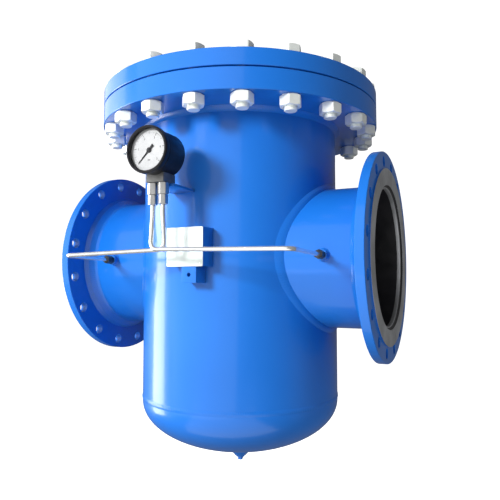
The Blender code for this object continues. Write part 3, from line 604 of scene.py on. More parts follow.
CAST = new_finish(
    "cast_block", "stainless_steel", rough=(0.40, 0.55), rough_grain=(150.0,),
    tones=((0.15, 0.15, 0.145), (0.24, 0.24, 0.235)), tone_grain=(50.0, 3.0),
    relief=0.0001, relief_grain=(1200.0, 3.0), Metallic=0.85,
)
OXIDE = new_finish(
    "black_oxide", "stainless_steel", rough=(0.30, 0.45), rough_grain=(240.0,),
    tones=((0.020, 0.022, 0.028), (0.075, 0.080, 0.090)), tone_grain=(180.0, 3.0),
    relief=0.00003, relief_grain=(300.0, 1.0), Metallic=0.6,
)
PLATE = new_finish(
    "plate_metal", "nameplate_aluminium", rough=(0.36, 0.52), rough_grain=(400.0, 3.0, (0.04, 1, 1)),
    tones=((0.66, 0.73, 0.70), (0.74, 0.80, 0.77)), tone_grain=(30.0, 3.0),
    relief=0.00003, relief_grain=(900.0, 2.0, (0.03, 1, 1)), Metallic=0.1,
)

# %% [markdown]
# The raised faces of the pipe flanges are bare steel, faced on a lathe. Rings round the pipe's axis stand for
# the fine grooves that the tool leaves. The same light steel also goes on the last stretch of each bore,
# where it is a painted highlight for a streak of light inside.

# %% Faced steel
GROOVE_SCALE = 180.0
GROOVE_DEPTH = 0.00008


def faced_steel():
    material = new_finish(
        "faced_steel", "blue_paint", rough=(0.34, 0.52), rough_grain=(90.0,),
        tones=((0.40, 0.41, 0.43), (0.62, 0.64, 0.67)), tone_grain=(14.0, 5.0), Metallic=0.75,
    )
    tree = material.node_tree
    where = tree.nodes.new("ShaderNodeTexCoord")
    grooves = tree.nodes.new("ShaderNodeTexWave")
    grooves.wave_type = "RINGS"
    grooves.rings_direction = "X"
    grooves.inputs["Scale"].default_value = GROOVE_SCALE
    tree.links.new(where.outputs["Object"], grooves.inputs["Vector"])
    bump(tree, grooves.outputs["Fac"], GROOVE_DEPTH)
    return material


FACED = faced_steel()

# %% [markdown]
# The gauge has a black enamelled case, a pale dial with black print, and a window that is nearly clear:
# its alpha is low, so that the dial shows through it and only the gloss is left. The gasket is grey fibre
# sheet.

# %% Gauge and gasket
BLACK = new_finish(
    "gauge_black", "black_case", rough=(0.30, 0.42), rough_grain=(90.0,),
    tones=((0.004, 0.004, 0.006), (0.008, 0.008, 0.011)), tone_grain=(20.0,),
    relief=0.00005, relief_grain=(1500.0, 1.0), Specular_IOR_Level=0.35,
)
DIAL = new_finish(
    "dial_enamel", "dial_white", rough=(0.38, 0.5), rough_grain=(300.0,),
    tones=((0.53, 0.54, 0.55), (0.59, 0.60, 0.61)), tone_grain=(60.0,),
)
PRINT = new_finish(
    "print_black", "pointer_black", rough=(0.45, 0.6), rough_grain=(500.0,),
    tones=((0.010, 0.010, 0.012), (0.03, 0.03, 0.034)), tone_grain=(500.0,),
)
GLASS = new_finish(
    "clear_glass", "window_glass", rough=(0.01, 0.04), rough_grain=(30.0,),
    Base_Color=(0.02, 0.02, 0.02, 1), Alpha=0.06, Specular_IOR_Level=0.8,
)
GASKET = new_finish(
    "gasket_sheet", "gasket_sheet", rough=(0.6, 0.8), rough_grain=(220.0,),
    tones=((0.035, 0.036, 0.038), (0.085, 0.085, 0.088)), tone_grain=(220.0, 5.0),
    relief=0.0001, relief_grain=(600.0, 4.0),
)

# %% [markdown]
# ## Handing a piece over
# Each finished piece is shaded smooth except at real edges, gets its finish, is hung on the empty of what it
# rides on, and hides the plain nodes that it stands for. A second finish can go on the faces that pass a
# test, such as the inside of a pipe.

# %% Dressing a piece
SMOOTH_ANGLE = math.radians(32)


def also(piece, finish, test):
    """Gives one more finish to the faces that pass a test."""
    piece.data.materials.append(finish)
    for face in piece.data.polygons:
        if test(face):
            face.material_index = len(piece.data.materials) - 1


def keep_flat(piece):
    """Weighs the normals by area, so that a broad face shades flat right up to its rounded edges."""
    pick(piece)
    weigh = piece.modifiers.new("weigh", "WEIGHTED_NORMAL")
    weigh.keep_sharp = True
    bpy.ops.object.modifier_apply(modifier=weigh.name)


def dress(piece, finish, body, *nodes, inside=None, test=None):
    """Shades a piece, gives it one finish or two, ties it to its body, and hides the nodes that it replaces.
    """
    pick(piece)
    bpy.ops.object.shade_smooth_by_angle(angle=SMOOTH_ANGLE)
    piece.data.materials.clear()
    piece.data.materials.append(finish)
    if inside:
        also(piece, inside, test)
    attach(piece, body)
    if nodes:
        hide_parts(*nodes)
    return piece


# %% [markdown]
# ## The vessel
# The shell is a plate rolled into a cylinder and bored through for the two nozzles. It is turned as a tube,
# and a horizontal cylinder as wide as the pipe's bore cuts both openings at once. The inside is finished near
# black.

# %% Shell
shell = ring("shell_tube", SHELL_INSIDE, SHELL_RADIUS, shell_low.z, shell_high.z, VESSEL_FACETS)
cut(shell, fresh(bpy.ops.mesh.primitive_cylinder_add, vertices=NECK_FACETS, radius=BORE_RADIUS,
                 depth=4 * SHELL_RADIUS, rotation=(0, math.pi / 2, 0)))


def faces_axis(face):
    """True for a face that looks at the vertical axis."""
    flat = Vector((face.center.x, face.center.y, 0))
    return face.normal.dot(flat) < -0.5 * flat.length


dress(shell, ENAMEL, "vessel", "shell", inside=DARK_INSIDE, test=faces_axis)
print("shell:", len(shell.data.polygons), "faces")

# %% [markdown]
# The dished head is half an ellipsoid, pressed from one plate, with a short straight flange at its top.
# Its depth is half its radius. An ellipse is a circle squashed along one axis, so its points come from
# one sine and one cosine.

# %% Bottom head
DRAIN_BORE = 0.010
HEAD_STEPS = 28
head_rise = SHELL_RADIUS / 2
head_top = head_low.z + head_rise


def dish(radius, rise):
    """Points down the half ellipse from the straight flange to the drain."""
    last = math.acos(DRAIN_BORE / radius)
    points = []
    for i in range(HEAD_STEPS + 1):
        angle = last * i / HEAD_STEPS
        points.append((radius * math.cos(angle), head_top - rise * math.sin(angle)))
    return points


head = turn_section("dished_head", [(SHELL_RADIUS, head_high.z)] + dish(SHELL_RADIUS, head_rise)
                    + dish(SHELL_INSIDE, head_rise - SHELL_WALL)[::-1] + [(SHELL_INSIDE, head_high.z)],
                    VESSEL_FACETS)
dress(head, ENAMEL, "vessel", "bottom_head", inside=DARK_INSIDE, test=faces_axis)

seam_middle = head_high.z + GAP / 2
seam_low = seam_middle - SEAM_WIDTH / 2
seam_high = seam_middle + SEAM_WIDTH / 2
seam = weld_ring("head_seam_weld", [(SHELL_RADIUS - DEEP_ROOT, seam_low)]
                 + bead_face((SHELL_RADIUS, seam_low), (SHELL_RADIUS, seam_high), SEAM_HEIGHT)
                 + [(SHELL_RADIUS - DEEP_ROOT, seam_high)], SHELL_RADIUS)
dress(seam, ENAMEL, "vessel")
print("head:", len(head.data.polygons), "faces, seam weld:", len(seam.data.polygons))

# %% [markdown]
# At the lowest point a tapered boss is welded in, and a plug with a square head closes it. The plug's
# blank is turned and its square is a second piece, united with it.

# %% Drain boss and plug
boss_low, boss_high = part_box("drain_boss")
plug_low, plug_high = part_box("drain_plug")
BOSS_TIP = 0.0145
BOSS_COLLAR = 0.015
BOSS_ROUND = 0.003
TIP_ROUND = 0.0015
PLUG_SQUARE = 0.011
PLUG_COLLAR = 0.011
PLUG_COLLAR_HEIGHT = 0.0035
SQUARE_EDGE = 0.0012

boss = turn_section("drain_boss_turned", [
    (DRAIN_BORE, boss_high.z), (boss_high.x, boss_high.z),
    (boss_high.x, boss_high.z - BOSS_COLLAR, BOSS_ROUND), (BOSS_TIP, boss_low.z, TIP_ROUND),
    (DRAIN_BORE, boss_low.z),
], BOSS_FACETS)
dress(boss, ENAMEL, "vessel", "drain_boss")

plug_seat = boss_low.z - GAP
plug = turn_section("drain_plug_turned", [
    (0, plug_high.z), (DRAIN_BORE - GAP, plug_high.z), (DRAIN_BORE - GAP, plug_seat),
    (PLUG_COLLAR, plug_seat), (PLUG_COLLAR, plug_seat - PLUG_COLLAR_HEIGHT, EDGE),
    (0, plug_seat - PLUG_COLLAR_HEIGHT),
], BOLT_FACETS, closed=False)
key_top = plug_seat - PLUG_COLLAR_HEIGHT / 2
key = box_piece("key", Vector((-PLUG_SQUARE / 2, -PLUG_SQUARE / 2, plug_low.z)),
                Vector((PLUG_SQUARE / 2, PLUG_SQUARE / 2, key_top)))
open_mesh(key, "EDGE")
choose(key, "EDGE", lambda e: min(v.co.z for v in e.verts) < key_top - EDGE)
bpy.ops.mesh.bevel(offset=SQUARE_EDGE, segments=2, affect="EDGES")
close_mesh()
cut(plug, key, "UNION")
dress(plug, ENAMEL, "vessel", "drain_plug")
print("drain boss:", len(boss.data.polygons), "faces, plug:", len(plug.data.polygons))

# %% [markdown]
# ## The body flange
# A heavy ring is welded round the shell's mouth to carry the cover. It is turned, and then drilled with
# twenty pins in one cut. Its outer edges are rounded in the section, where a radius costs nothing.

# %% Body flange
BOLT_COUNT = 20
NUT_FLATS = 0.046
BOLT_RADIUS = 0.015
BOLT_MARGIN = 0.027
BOLT_CIRCLE = COVER_RADIUS - BOLT_MARGIN
HOLE_RADIUS = 0.0155
NUT_HEIGHT = 0.0256
FLANGE_ROUND = (0.002, 0.002)
FLANGE_THICKNESS = 0.050
BODY_LEG = 0.012
BODY_BULGE = 0.0015
flange_bottom = flange_high.z - FLANGE_THICKNESS

body_flange = ring("body_flange_ring", SHELL_RADIUS + GAP, COVER_RADIUS, flange_bottom, flange_high.z,
                   VESSEL_FACETS, outer=FLANGE_ROUND)
drill(body_flange, BOLT_COUNT, BOLT_CIRCLE, HOLE_RADIUS, flange_bottom, flange_high.z, EDGE)
dress(body_flange, ENAMEL, "vessel", "body_flange")
keep_flat(body_flange)

body_weld = weld_ring("body_flange_weld", [(SHELL_RADIUS - DEEP_ROOT, flange_bottom + ROOT)]
                      + bead_face((SHELL_RADIUS, flange_bottom - BODY_LEG),
                                  (SHELL_RADIUS + BODY_LEG, flange_bottom), BODY_BULGE)[::-1], SHELL_RADIUS)
dress(body_weld, ENAMEL, "vessel")
print("body flange:", len(body_flange.data.polygons), "faces")

# %% [markdown]
# Twenty nuts hold the cover's bolts from below. One nut is milled and copied round the circle, and each
# copy gets its own mesh, because each nut is a piece that a fitter could pick up.

# %% Nuts
nut_top = flange_bottom - GAP / 3
nut_bottom = flange_bottom - NUT_HEIGHT
WASHER_FACE = 0.0006
NUT_MOUTH = 0.0018
NUT_MOUTH_HEIGHT = 0.0015
low_start, low_end = hex_cone(NUT_FLATS, nut_bottom, 1)
high_start, high_end = hex_cone(NUT_FLATS, nut_top - WASHER_FACE, -1)
nut = turn_section("nut_blank", [
    (BOLT_RADIUS + GAP, nut_bottom + NUT_MOUTH_HEIGHT), (BOLT_RADIUS + NUT_MOUTH, nut_bottom),
    low_start, low_end, high_end, high_start, (high_start[0], nut_top), (BOLT_RADIUS + GAP, nut_top),
], DISC_FACETS)
mill_hexagon(nut, NUT_FLATS, nut_bottom, nut_top)
for piece in on_circle(nut, "cover_nut", BOLT_COUNT, BOLT_CIRCLE):
    dress(piece, ZINC, "vessel", "body_flange")
print("nut:", len(piece.data.polygons), "faces each")

# %% [markdown]
# ## The nozzles
# Each nozzle is a pipe stub whose end is cut to the shell's curve, a joint that pipe fitters call set-on.
# A tube is turned, laid on its side and cut with a cylinder of the shell's size, and the shape of the joint
# comes by itself. Its bore is near black, except for the last stretch, which gets light bare steel: a painted
# highlight that stands in for a streak of light inside the bore.

# %% Nozzle necks
def saddle(radius, across):
    """How far from the vertical axis a round surface is, this far to the side."""
    return math.sqrt(radius ** 2 - across ** 2)


# How far into the bore the painted highlight of light bare steel reaches.
HIGHLIGHT_BAND = 0.009
BLANK_START = 0.6
neck_start = SHELL_RADIUS * BLANK_START
neck = turn_section("neck", [
    (BORE_RADIUS, neck_start), (PIPE_RADIUS, neck_start), (PIPE_RADIUS, neck_high.x, EDGE),
    (BORE_RADIUS, neck_high.x, EDGE), (BORE_RADIUS, neck_high.x - HIGHLIGHT_BAND),
], NECK_FACETS)
settle(neck, turn=(0, 90, 0))
cut(neck, fresh(bpy.ops.mesh.primitive_cylinder_add, vertices=VESSEL_FACETS, radius=SHELL_RADIUS + GAP,
                depth=4 * PIPE_RADIUS))


def faces_bore(face):
    """True for a face that looks at the pipe's axis."""
    flat = Vector((0, face.center.y, face.center.z))
    return face.normal.dot(flat) < -0.5 * flat.length


def is_bare_highlight(face):
    """True for the pipe's end and the last stretch of its bore, which get light bare steel as a painted
    highlight.
    """
    from_axis = math.hypot(face.center.y, face.center.z)
    return abs(face.center.x) > neck_high.x - HIGHLIGHT_BAND and from_axis < PIPE_RADIUS - 2 * GAP


NOZZLES = (("inlet", 0), ("outlet", 180))
for end, turn in NOZZLES:
    stub = settle(twin(neck, f"{end}_stub"), turn=(0, 0, turn))
    dress(stub, ENAMEL, "vessel", f"{end}_neck", inside=DARK_INSIDE, test=faces_bore)
    # The last stretch of each bore gets light bare steel: a painted highlight for the streak of light inside.
    also(stub, FACED, is_bare_highlight)
bpy.data.objects.remove(neck)
print("neck:", len(stub.data.polygons), "faces each")

# %% [markdown]
# The weld at the foot of a neck runs along a joint in the shape of a saddle. Its ring is spun flat and
# laid on its side, and then each point moves out by as far as the shell reaches there.

# %% Saddle welds
SADDLE_REACH = 0.014
SADDLE_RISE = 0.006
SADDLE_BULGE = 0.0012
saddle_weld = weld_ring("saddle_weld", [(PIPE_RADIUS - DEEP_ROOT, -DEEP_ROOT)]
                        + bead_face((PIPE_RADIUS + SADDLE_REACH, 0), (PIPE_RADIUS, SADDLE_RISE), SADDLE_BULGE)
                        + [(PIPE_RADIUS - DEEP_ROOT, SADDLE_RISE)], PIPE_RADIUS)
settle(saddle_weld, turn=(0, 90, 0))
for vertex in saddle_weld.data.vertices:
    vertex.co.x += saddle(SHELL_RADIUS, vertex.co.y)
for end, turn in NOZZLES:
    dress(settle(twin(saddle_weld, f"{end}_saddle_weld"), turn=(0, 0, turn)), ENAMEL, "vessel")
print("saddle weld:", len(saddle_weld.data.polygons), "faces")
bpy.data.objects.remove(saddle_weld)

# %% [markdown]
# ## The pipe flanges
# The flange slips over the pipe. It is turned upright with its raised face on top, and its sixteen holes
# straddle the centrelines, as the standard asks.

# %% Pipe flange
NOZZLE_HOLES = 16
NOZZLE_THICKNESS = 0.026
RAISED_HEIGHT = 0.004
RAISED_RADIUS = 0.219
RAISED_EDGE = 0.0006
NOZZLE_MARGIN = 0.025
NOZZLE_CIRCLE = nozzle_high.z - NOZZLE_MARGIN
NOZZLE_HOLE = 0.013
NOZZLE_CHAMFER = 0.0008
nozzle_face = nozzle_high.x
nozzle_back = nozzle_face - NOZZLE_THICKNESS
nozzle_front = nozzle_face - RAISED_HEIGHT
pipe_flange = turn_section("pipe_flange", [
    (PIPE_RADIUS + GAP, nozzle_back), (nozzle_high.z, nozzle_back, FLANGE_ROUND[0]),
    (nozzle_high.z, nozzle_front, FLANGE_ROUND[1]), (RAISED_RADIUS, nozzle_front),
    (RAISED_RADIUS, nozzle_face, RAISED_EDGE), (PIPE_RADIUS + GAP, nozzle_face, EDGE),
], FLANGE_FACETS)
drill(pipe_flange, NOZZLE_HOLES, NOZZLE_CIRCLE, NOZZLE_HOLE, nozzle_back, nozzle_front, NOZZLE_CHAMFER)
print("pipe flange:", len(pipe_flange.data.polygons), "faces")

# %% [markdown]
# The flange is welded behind and in front. The weld behind is a broad one: its steep outer face meets a
# slope that runs out along the neck. The one in front fills the corner between the pipe's end and the
# flange's bore.

# %% Welds of the pipe flange
BACK_REACH = 0.021
CREASE_RISE = 0.0145
CREASE_RUN = 0.012
CREASE_ROUND = 0.0015
TOE_RISE = 0.0035
TOE_RUN = 0.023
TOE_ROUND = 0.006
BACK_RUN = 0.030
FRONT_BULGE = 0.0006

back_weld = weld_ring("back_weld", [
    (PIPE_RADIUS - ROOT, nozzle_back + ROOT), (PIPE_RADIUS + BACK_REACH, nozzle_back + ROOT),
    (PIPE_RADIUS + CREASE_RISE, nozzle_back - CREASE_RUN, CREASE_ROUND),
    (PIPE_RADIUS + TOE_RISE, nozzle_back - TOE_RUN, TOE_ROUND), (PIPE_RADIUS, nozzle_back - BACK_RUN),
], PIPE_RADIUS)
front_leg = nozzle_face - neck_high.x - EDGE
front_weld = weld_ring("front_weld", [(PIPE_RADIUS + ROOT, neck_high.x - ROOT / 2)] + bead_face(
    (PIPE_RADIUS - front_leg, neck_high.x), (PIPE_RADIUS, neck_high.x + front_leg), FRONT_BULGE)[::-1],
    PIPE_RADIUS)
print("weld behind:", len(back_weld.data.polygons), "faces, in front:", len(front_weld.data.polygons))

# %% [markdown]
# Flange and welds are copied and tipped onto each nozzle. The raised face is bare metal with fine grooves,
# which bite into the gasket of the pipe that bolts on. The weld in front is near black, as the bore is.

# %% Both pipe flanges
def is_raised_face(face):
    """True for the raised face and the bore's edge, which no paint covers."""
    from_axis = math.hypot(face.center.y, face.center.z)
    return abs(face.center.x) > nozzle_face - RAISED_HEIGHT / 8 or from_axis < PIPE_RADIUS + 2 * GAP


for end, tip in (("inlet", 90), ("outlet", -90)):
    flange = settle(twin(pipe_flange, f"{end}_flange_ring"), turn=(0, tip, 0))
    dress(flange, ENAMEL, "vessel", f"{end}_flange", inside=FACED, test=is_raised_face)
    keep_flat(flange)
    dress(settle(twin(back_weld, f"{end}_back_weld"), turn=(0, tip, 0)), ENAMEL, "vessel")
    dress(settle(twin(front_weld, f"{end}_front_weld"), turn=(0, tip, 0)), DARK_INSIDE, "vessel")
for piece in (pipe_flange, back_weld, front_weld):
    bpy.data.objects.remove(piece)

# %% [markdown]
# ## The cover
# A blind plate closes the vessel, on a flat ring of gasket. Both are turned, and the plate is drilled in
# the same way as the flange, so that the holes meet.

# %% Cover plate and gasket
cover = ring("cover_disc", 0, COVER_RADIUS, cover_low.z, cover_high.z, VESSEL_FACETS, outer=FLANGE_ROUND)
drill(cover, BOLT_COUNT, BOLT_CIRCLE, HOLE_RADIUS, cover_low.z, cover_high.z, EDGE)
dress(cover, ENAMEL, "cover", "cover_plate")
keep_flat(cover)

GASKET_WIDTH = 0.030
gasket_low, gasket_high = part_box("cover_gasket")
gasket = ring("gasket_ring", gasket_high.x - GASKET_WIDTH, gasket_high.x, gasket_low.z, gasket_high.z,
              FLANGE_FACETS)
dress(gasket, GASKET, "vessel", "cover_gasket")
print("cover:", len(cover.data.polygons), "faces, gasket:", len(gasket.data.polygons))

# %% [markdown]
# Twenty bolts go down through both flanges. A bolt is turned in one piece, with its thread as a row of
# grooves, and its head is milled from the blank. A real thread climbs, but at this size rings look the
# same and are simple to turn.

# %% Bolts
THREAD_PITCH = 0.0035
THREAD_DEPTH = 0.0019
THREAD_TURNS = 17
head_seat = cover_high.z + GAP
bolt_end = bolt_low.z


def thread(radius, start, turns):
    """Section points of a row of thread grooves, upwards from a height."""
    points = []
    for i in range(turns):
        low = start + i * THREAD_PITCH
        points += [(radius, low), (radius - THREAD_DEPTH, low + THREAD_PITCH / 2)]
    return points + [(radius, start + turns * THREAD_PITCH)]


top_start, top_end = hex_cone(NUT_FLATS, bolt_high.z, -1)
bolt = turn_section("bolt_blank", [(0, bolt_end), (BOLT_RADIUS - THREAD_DEPTH, bolt_end)]
                    + thread(BOLT_RADIUS, bolt_end + THREAD_DEPTH, THREAD_TURNS)
                    + [(BOLT_RADIUS, head_seat), (top_start[0], head_seat),
                       (top_start[0], head_seat + WASHER_FACE), (top_end[0], head_seat + WASHER_FACE),
                       top_end, top_start, (0, bolt_high.z)],
                    BOLT_FACETS, closed=False)
mill_hexagon(bolt, NUT_FLATS, bolt_end, bolt_high.z)
for i, piece in enumerate(on_circle(bolt, "bolt", BOLT_COUNT, BOLT_CIRCLE)):
    dress(piece, ZINC, "cover", f"cover_bolt_{i + 1:02d}")
print("bolt:", len(piece.data.polygons), "faces each")

# %% [markdown]
# ## The seat and the basket
# Inside, a slanted deck forces all the water through the basket. Seen from above, each part of it is
# round, so it is turned flat on the lathe and then sheared: each point sinks in proportion to how far it
# lies towards the inlet.

# %% Slanted seat
SEAT_THICKNESS = 0.008
SEAT_WELD = 0.007
SEAT_BULGE = 0.0008
seat_low, seat_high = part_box("basket_seat")
rim_low, rim_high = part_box("basket_rim")
screen_low, screen_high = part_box("basket_screen")
basket_radius = screen_high.y
SEAT_OUTER = SHELL_INSIDE - GAP
SEAT_SLOPE = seat_high.z / SEAT_OUTER
SLANT = math.hypot(1, SEAT_SLOPE)
BASKET_WALL = 0.004
BASKET_CLEARANCE = 0.003
basket_inside = basket_radius - BASKET_WALL
print(f"the seat falls {SEAT_SLOPE:.3f} m for each metre, basket radius {basket_radius:.4f} m")


def slant(piece):
    """Shears a flat round piece, so that it falls towards the inlet."""
    for vertex in piece.data.vertices:
        vertex.co.z -= vertex.co.x * SEAT_SLOPE
    return piece


seat = ring("slanted_seat", basket_radius + BASKET_CLEARANCE, SEAT_OUTER, -SEAT_THICKNESS * SLANT, 0,
            NECK_FACETS, inner=EDGE)
dress(slant(seat), DARK_INSIDE, "vessel", "basket_seat")
seat_weld = weld_ring("seat_weld", [(SEAT_OUTER, -ROOT)] + bead_face(
    (SEAT_OUTER, SEAT_WELD), (SEAT_OUTER - SEAT_WELD, 0), SEAT_BULGE), SEAT_OUTER)
dress(slant(seat_weld), DARK_INSIDE, "vessel")

# %% [markdown]
# The basket hangs in the deck's hole by a rim, which is sheared to the same slope. Two round feet stand
# on the rim and carry the bail, by which the basket is lifted out.

# %% Basket rim and the feet of its bail
RIM_THICKNESS = 0.006
RIM_ROUND = (0.0015, 0.0015)
FOOT_RADIUS = 0.011
rim_bottom = GAP * SLANT
rim_top = rim_bottom + RIM_THICKNESS * SLANT
foot_middle = (basket_inside + rim_high.y) / 2
foot_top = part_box("basket_bail")[0].z - GAP
basket_rim = ring("basket_rim_ring", basket_inside, rim_high.y, rim_bottom, rim_top, NECK_FACETS,
                  outer=RIM_ROUND, inner=EDGE)
dress(slant(basket_rim), SHEET, "basket", "basket_rim")
for end, side in (("near", -1), ("far", 1)):
    foot = ring(f"bail_foot_{end}", 0, FOOT_RADIUS, (rim_bottom + rim_top) / 2, foot_top, BOLT_FACETS,
                outer=(0, EDGE))
    dress(settle(foot, (0, side * foot_middle, 0)), SHEET, "basket", "basket_rim")
print("basket rim:", len(basket_rim.data.polygons), "faces")

# %% [markdown]
# The bail and the impulse tubes are bent bar. A curve follows the same straight runs and bends that a
# tube bender would set, takes a round section, and is then turned into a mesh.

# %% Bent bar
BEND_STEPS = 14


def bent_bar(name, corners, bend, thickness):
    """A round bar along straight runs with a bend at each inner corner, as a mesh."""
    route = [corners[0]]
    for before, here, after in zip(corners, corners[1:], corners[2:]):
        route += corner_arc(before, here, after, bend, BEND_STEPS)
    route.append(corners[-1])
    curve = bpy.data.curves.new(name, "CURVE")
    curve.dimensions = "3D"
    curve.bevel_depth = thickness / 2
    curve.bevel_resolution = 8
    curve.use_fill_caps = True
    line = curve.splines.new("POLY")
    line.points.add(len(route) - 1)
    for spot, point in zip(line.points, route):
        spot.co = (*point, 1)
    bar = bpy.data.objects.new(name, curve)
    bpy.context.scene.collection.objects.link(bar)
    pick(bar)
    bpy.ops.object.convert(target="MESH")
    return bpy.context.object


BAIL_BEND = 0.104
bail_low, bail_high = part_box("basket_bail")
BAIL_ROD = bail_high.x - bail_low.x
bail_top = bail_high.z - BAIL_ROD / 2
bail = bent_bar("bail", [
    Vector((0, -foot_middle, foot_top + GAP)), Vector((0, -foot_middle, bail_top)),
    Vector((0, foot_middle, bail_top)), Vector((0, foot_middle, foot_top + GAP)),
], BAIL_BEND, BAIL_ROD)
dress(bail, STEEL, "basket", "basket_bail")
print("bail:", len(bail.data.polygons), "faces")

# %% [markdown]
# The basket's wall is perforated sheet, rolled round. A line of points is spun into a net of squares, the
# slope is cut across its top, and each square that lies clear of the edges gets a hole: inset, its
# corners bevelled until the hole is nearly round, and its middle deleted. Only then does the sheet get
# its thickness.

# %% Perforated wall
HOLE_PITCH = 0.0138
HOLE_MARGIN = 0.0024
HOLE_CORNER = 0.0026
BOTTOM_BAND = 0.016
TOP_BAND = 0.012
columns = round(math.tau * basket_radius / HOLE_PITCH)
rows = math.ceil((screen_high.z - screen_low.z - BOTTOM_BAND) / HOLE_PITCH) + 1

wall_line = [(basket_radius, screen_low.z), (basket_radius, screen_low.z + BOTTOM_BAND)]
for i in range(rows):
    wall_line.append((basket_radius, wall_line[-1][1] + HOLE_PITCH))
wall = turn_section("perforated_wall", wall_line, columns, closed=False)
open_mesh(wall, "FACE")
bpy.ops.mesh.select_all(action="SELECT")
bpy.ops.mesh.bisect(plane_co=(0, 0, 0), plane_no=(SEAT_SLOPE, 0, 1), clear_outer=True)
bpy.ops.mesh.select_all(action="DESELECT")


def is_whole_square(face):
    """True for a square above the bottom band and below the band along the slope."""
    low = min(v.co.z for v in face.verts)
    reach = max(v.co.z + v.co.x * SEAT_SLOPE for v in face.verts)
    return low > screen_low.z + BOTTOM_BAND / 2 and reach < -TOP_BAND


holes = choose(wall, "FACE", is_whole_square)
bpy.ops.mesh.inset(thickness=HOLE_MARGIN, use_individual=True)
bpy.ops.mesh.bevel(offset=HOLE_CORNER, segments=1, affect="VERTICES")
bpy.ops.mesh.delete(type="FACE")
close_mesh()
sheet = wall.modifiers.new("sheet", "SOLIDIFY")
sheet.thickness = BASKET_WALL
sheet.offset = -1
bpy.ops.object.modifier_apply(modifier="sheet")
dress(wall, SHEET, "basket", "basket_screen")
print(holes, "holes,", len(wall.data.polygons), "faces")

# %% [markdown]
# The floor is a flat disc. One pin is copied over a square grid, as far as the solid border allows, and
# all the pins together drill it in a single cut, which is much quicker than one cut for each hole.

# %% Perforated floor
FLOOR_PITCH = 0.0145
FLOOR_HOLE = 0.0045
FLOOR_BORDER = 0.016
PIN_LENGTH = 0.02
floor_low, floor_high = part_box("basket_floor")
disc = ring("perforated_floor", 0, basket_inside - GAP, floor_low.z, floor_high.z, DISC_FACETS)
pins = []
reach = math.ceil(basket_inside / FLOOR_PITCH)
pin = fresh(bpy.ops.mesh.primitive_cylinder_add, vertices=12, radius=FLOOR_HOLE, depth=PIN_LENGTH,
            location=(0, 0, floor_low.z))
for i in range(-reach, reach + 1):
    for j in range(-reach, reach + 1):
        spot = Vector((i * FLOOR_PITCH, j * FLOOR_PITCH, 0))
        if spot.length < basket_inside - FLOOR_BORDER:
            pins.append(twin(pin, "pin"))
            pins[-1].location += spot
bpy.data.objects.remove(pin)
print(len(pins), "holes in the floor")
cut(disc, joined(pins))
dress(disc, SHEET, "basket", "basket_floor")

# %% [markdown]
# ## The gauge
# A differential pressure gauge shows the pressure before the basket less the pressure behind it. Its
# pieces are turned as they stand on a bench, face up, and then tipped forwards onto the gauge's axis.
# Heights count from the face of the bezel backwards. A shallow groove runs round the case behind the
# bezel.

# %% Case
CASE_RADIUS = 0.050
CASE_WALL = 0.004
CASE_CORNER = 0.004
GROOVE_RADIUS = CASE_RADIUS - 0.0008
GROOVE_FRONT = -0.017
GROOVE_BACK = -0.020
GROOVE_SLOPE = 0.0005
BEZEL_DEPTH = 0.014
bezel_low, bezel_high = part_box("gauge_bezel")
case_low, case_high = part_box("gauge_case")
gauge_middle = (bezel_low + bezel_high) / 2
GAUGE_AT = (gauge_middle.x, bezel_low.y, gauge_middle.z)
case_back = bezel_low.y - case_high.y
FACE_ON = (90, 0, 0)

case = turn_section("case", [
    (0, case_back), (CASE_RADIUS, case_back, CASE_CORNER), (CASE_RADIUS, GROOVE_BACK),
    (GROOVE_RADIUS, GROOVE_BACK + GROOVE_SLOPE), (GROOVE_RADIUS, GROOVE_FRONT - GROOVE_SLOPE),
    (CASE_RADIUS, GROOVE_FRONT), (CASE_RADIUS, -BEZEL_DEPTH - GAP),
    (CASE_RADIUS - CASE_WALL, -BEZEL_DEPTH - GAP), (CASE_RADIUS - CASE_WALL, -2 * BEZEL_DEPTH),
    (0, -2 * BEZEL_DEPTH),
], GAUGE_FACETS, closed=False)
dress(settle(case, GAUGE_AT, FACE_ON), BLACK, "vessel", "gauge_case")
print("case:", len(case.data.polygons), "faces")

# %% [markdown]
# The bezel is a ring with a rounded front and a pocket behind its lip, in which the window sits.

# %% Bezel and window
BEZEL_LIP = 0.007
BEZEL_SLOPE = (0.0018, 0.0022)
BEZEL_TAPER = (0.0008, 0.003)
BEZEL_ROUND = 0.0018
BEZEL_EDGE = 0.0006
BEZEL_BACK_EDGE = 0.0008
POCKET_STEP = 0.002
WINDOW_DEPTH = 0.003
WINDOW_THICKNESS = 0.003
WINDOW_EDGE = 0.0004
BEZEL_RADIUS = (bezel_high.x - bezel_low.x) / 2
SIGHT = BEZEL_RADIUS - BEZEL_LIP
POCKET = SIGHT + POCKET_STEP

bezel = turn_section("bezel", [
    (SIGHT, -BEZEL_SLOPE[1]), (SIGHT + BEZEL_SLOPE[0], 0, BEZEL_EDGE),
    (BEZEL_RADIUS - BEZEL_TAPER[0], 0, BEZEL_ROUND), (BEZEL_RADIUS, -BEZEL_TAPER[1], BEZEL_EDGE),
    (BEZEL_RADIUS, -BEZEL_DEPTH, BEZEL_BACK_EDGE), (POCKET, -BEZEL_DEPTH), (POCKET, -WINDOW_DEPTH),
    (SIGHT, -WINDOW_DEPTH),
], GAUGE_FACETS)
dress(settle(bezel, GAUGE_AT, FACE_ON), BLACK, "vessel", "gauge_bezel")

window_face = -WINDOW_DEPTH - GAP
window = ring("window", 0, POCKET - GAP, window_face - WINDOW_THICKNESS, window_face, DISC_FACETS,
              outer=(0, WINDOW_EDGE))
dress(settle(window, GAUGE_AT, FACE_ON), GLASS, "vessel", "gauge_window")
print("bezel:", len(bezel.data.polygons), "faces, window:", len(window.data.polygons))

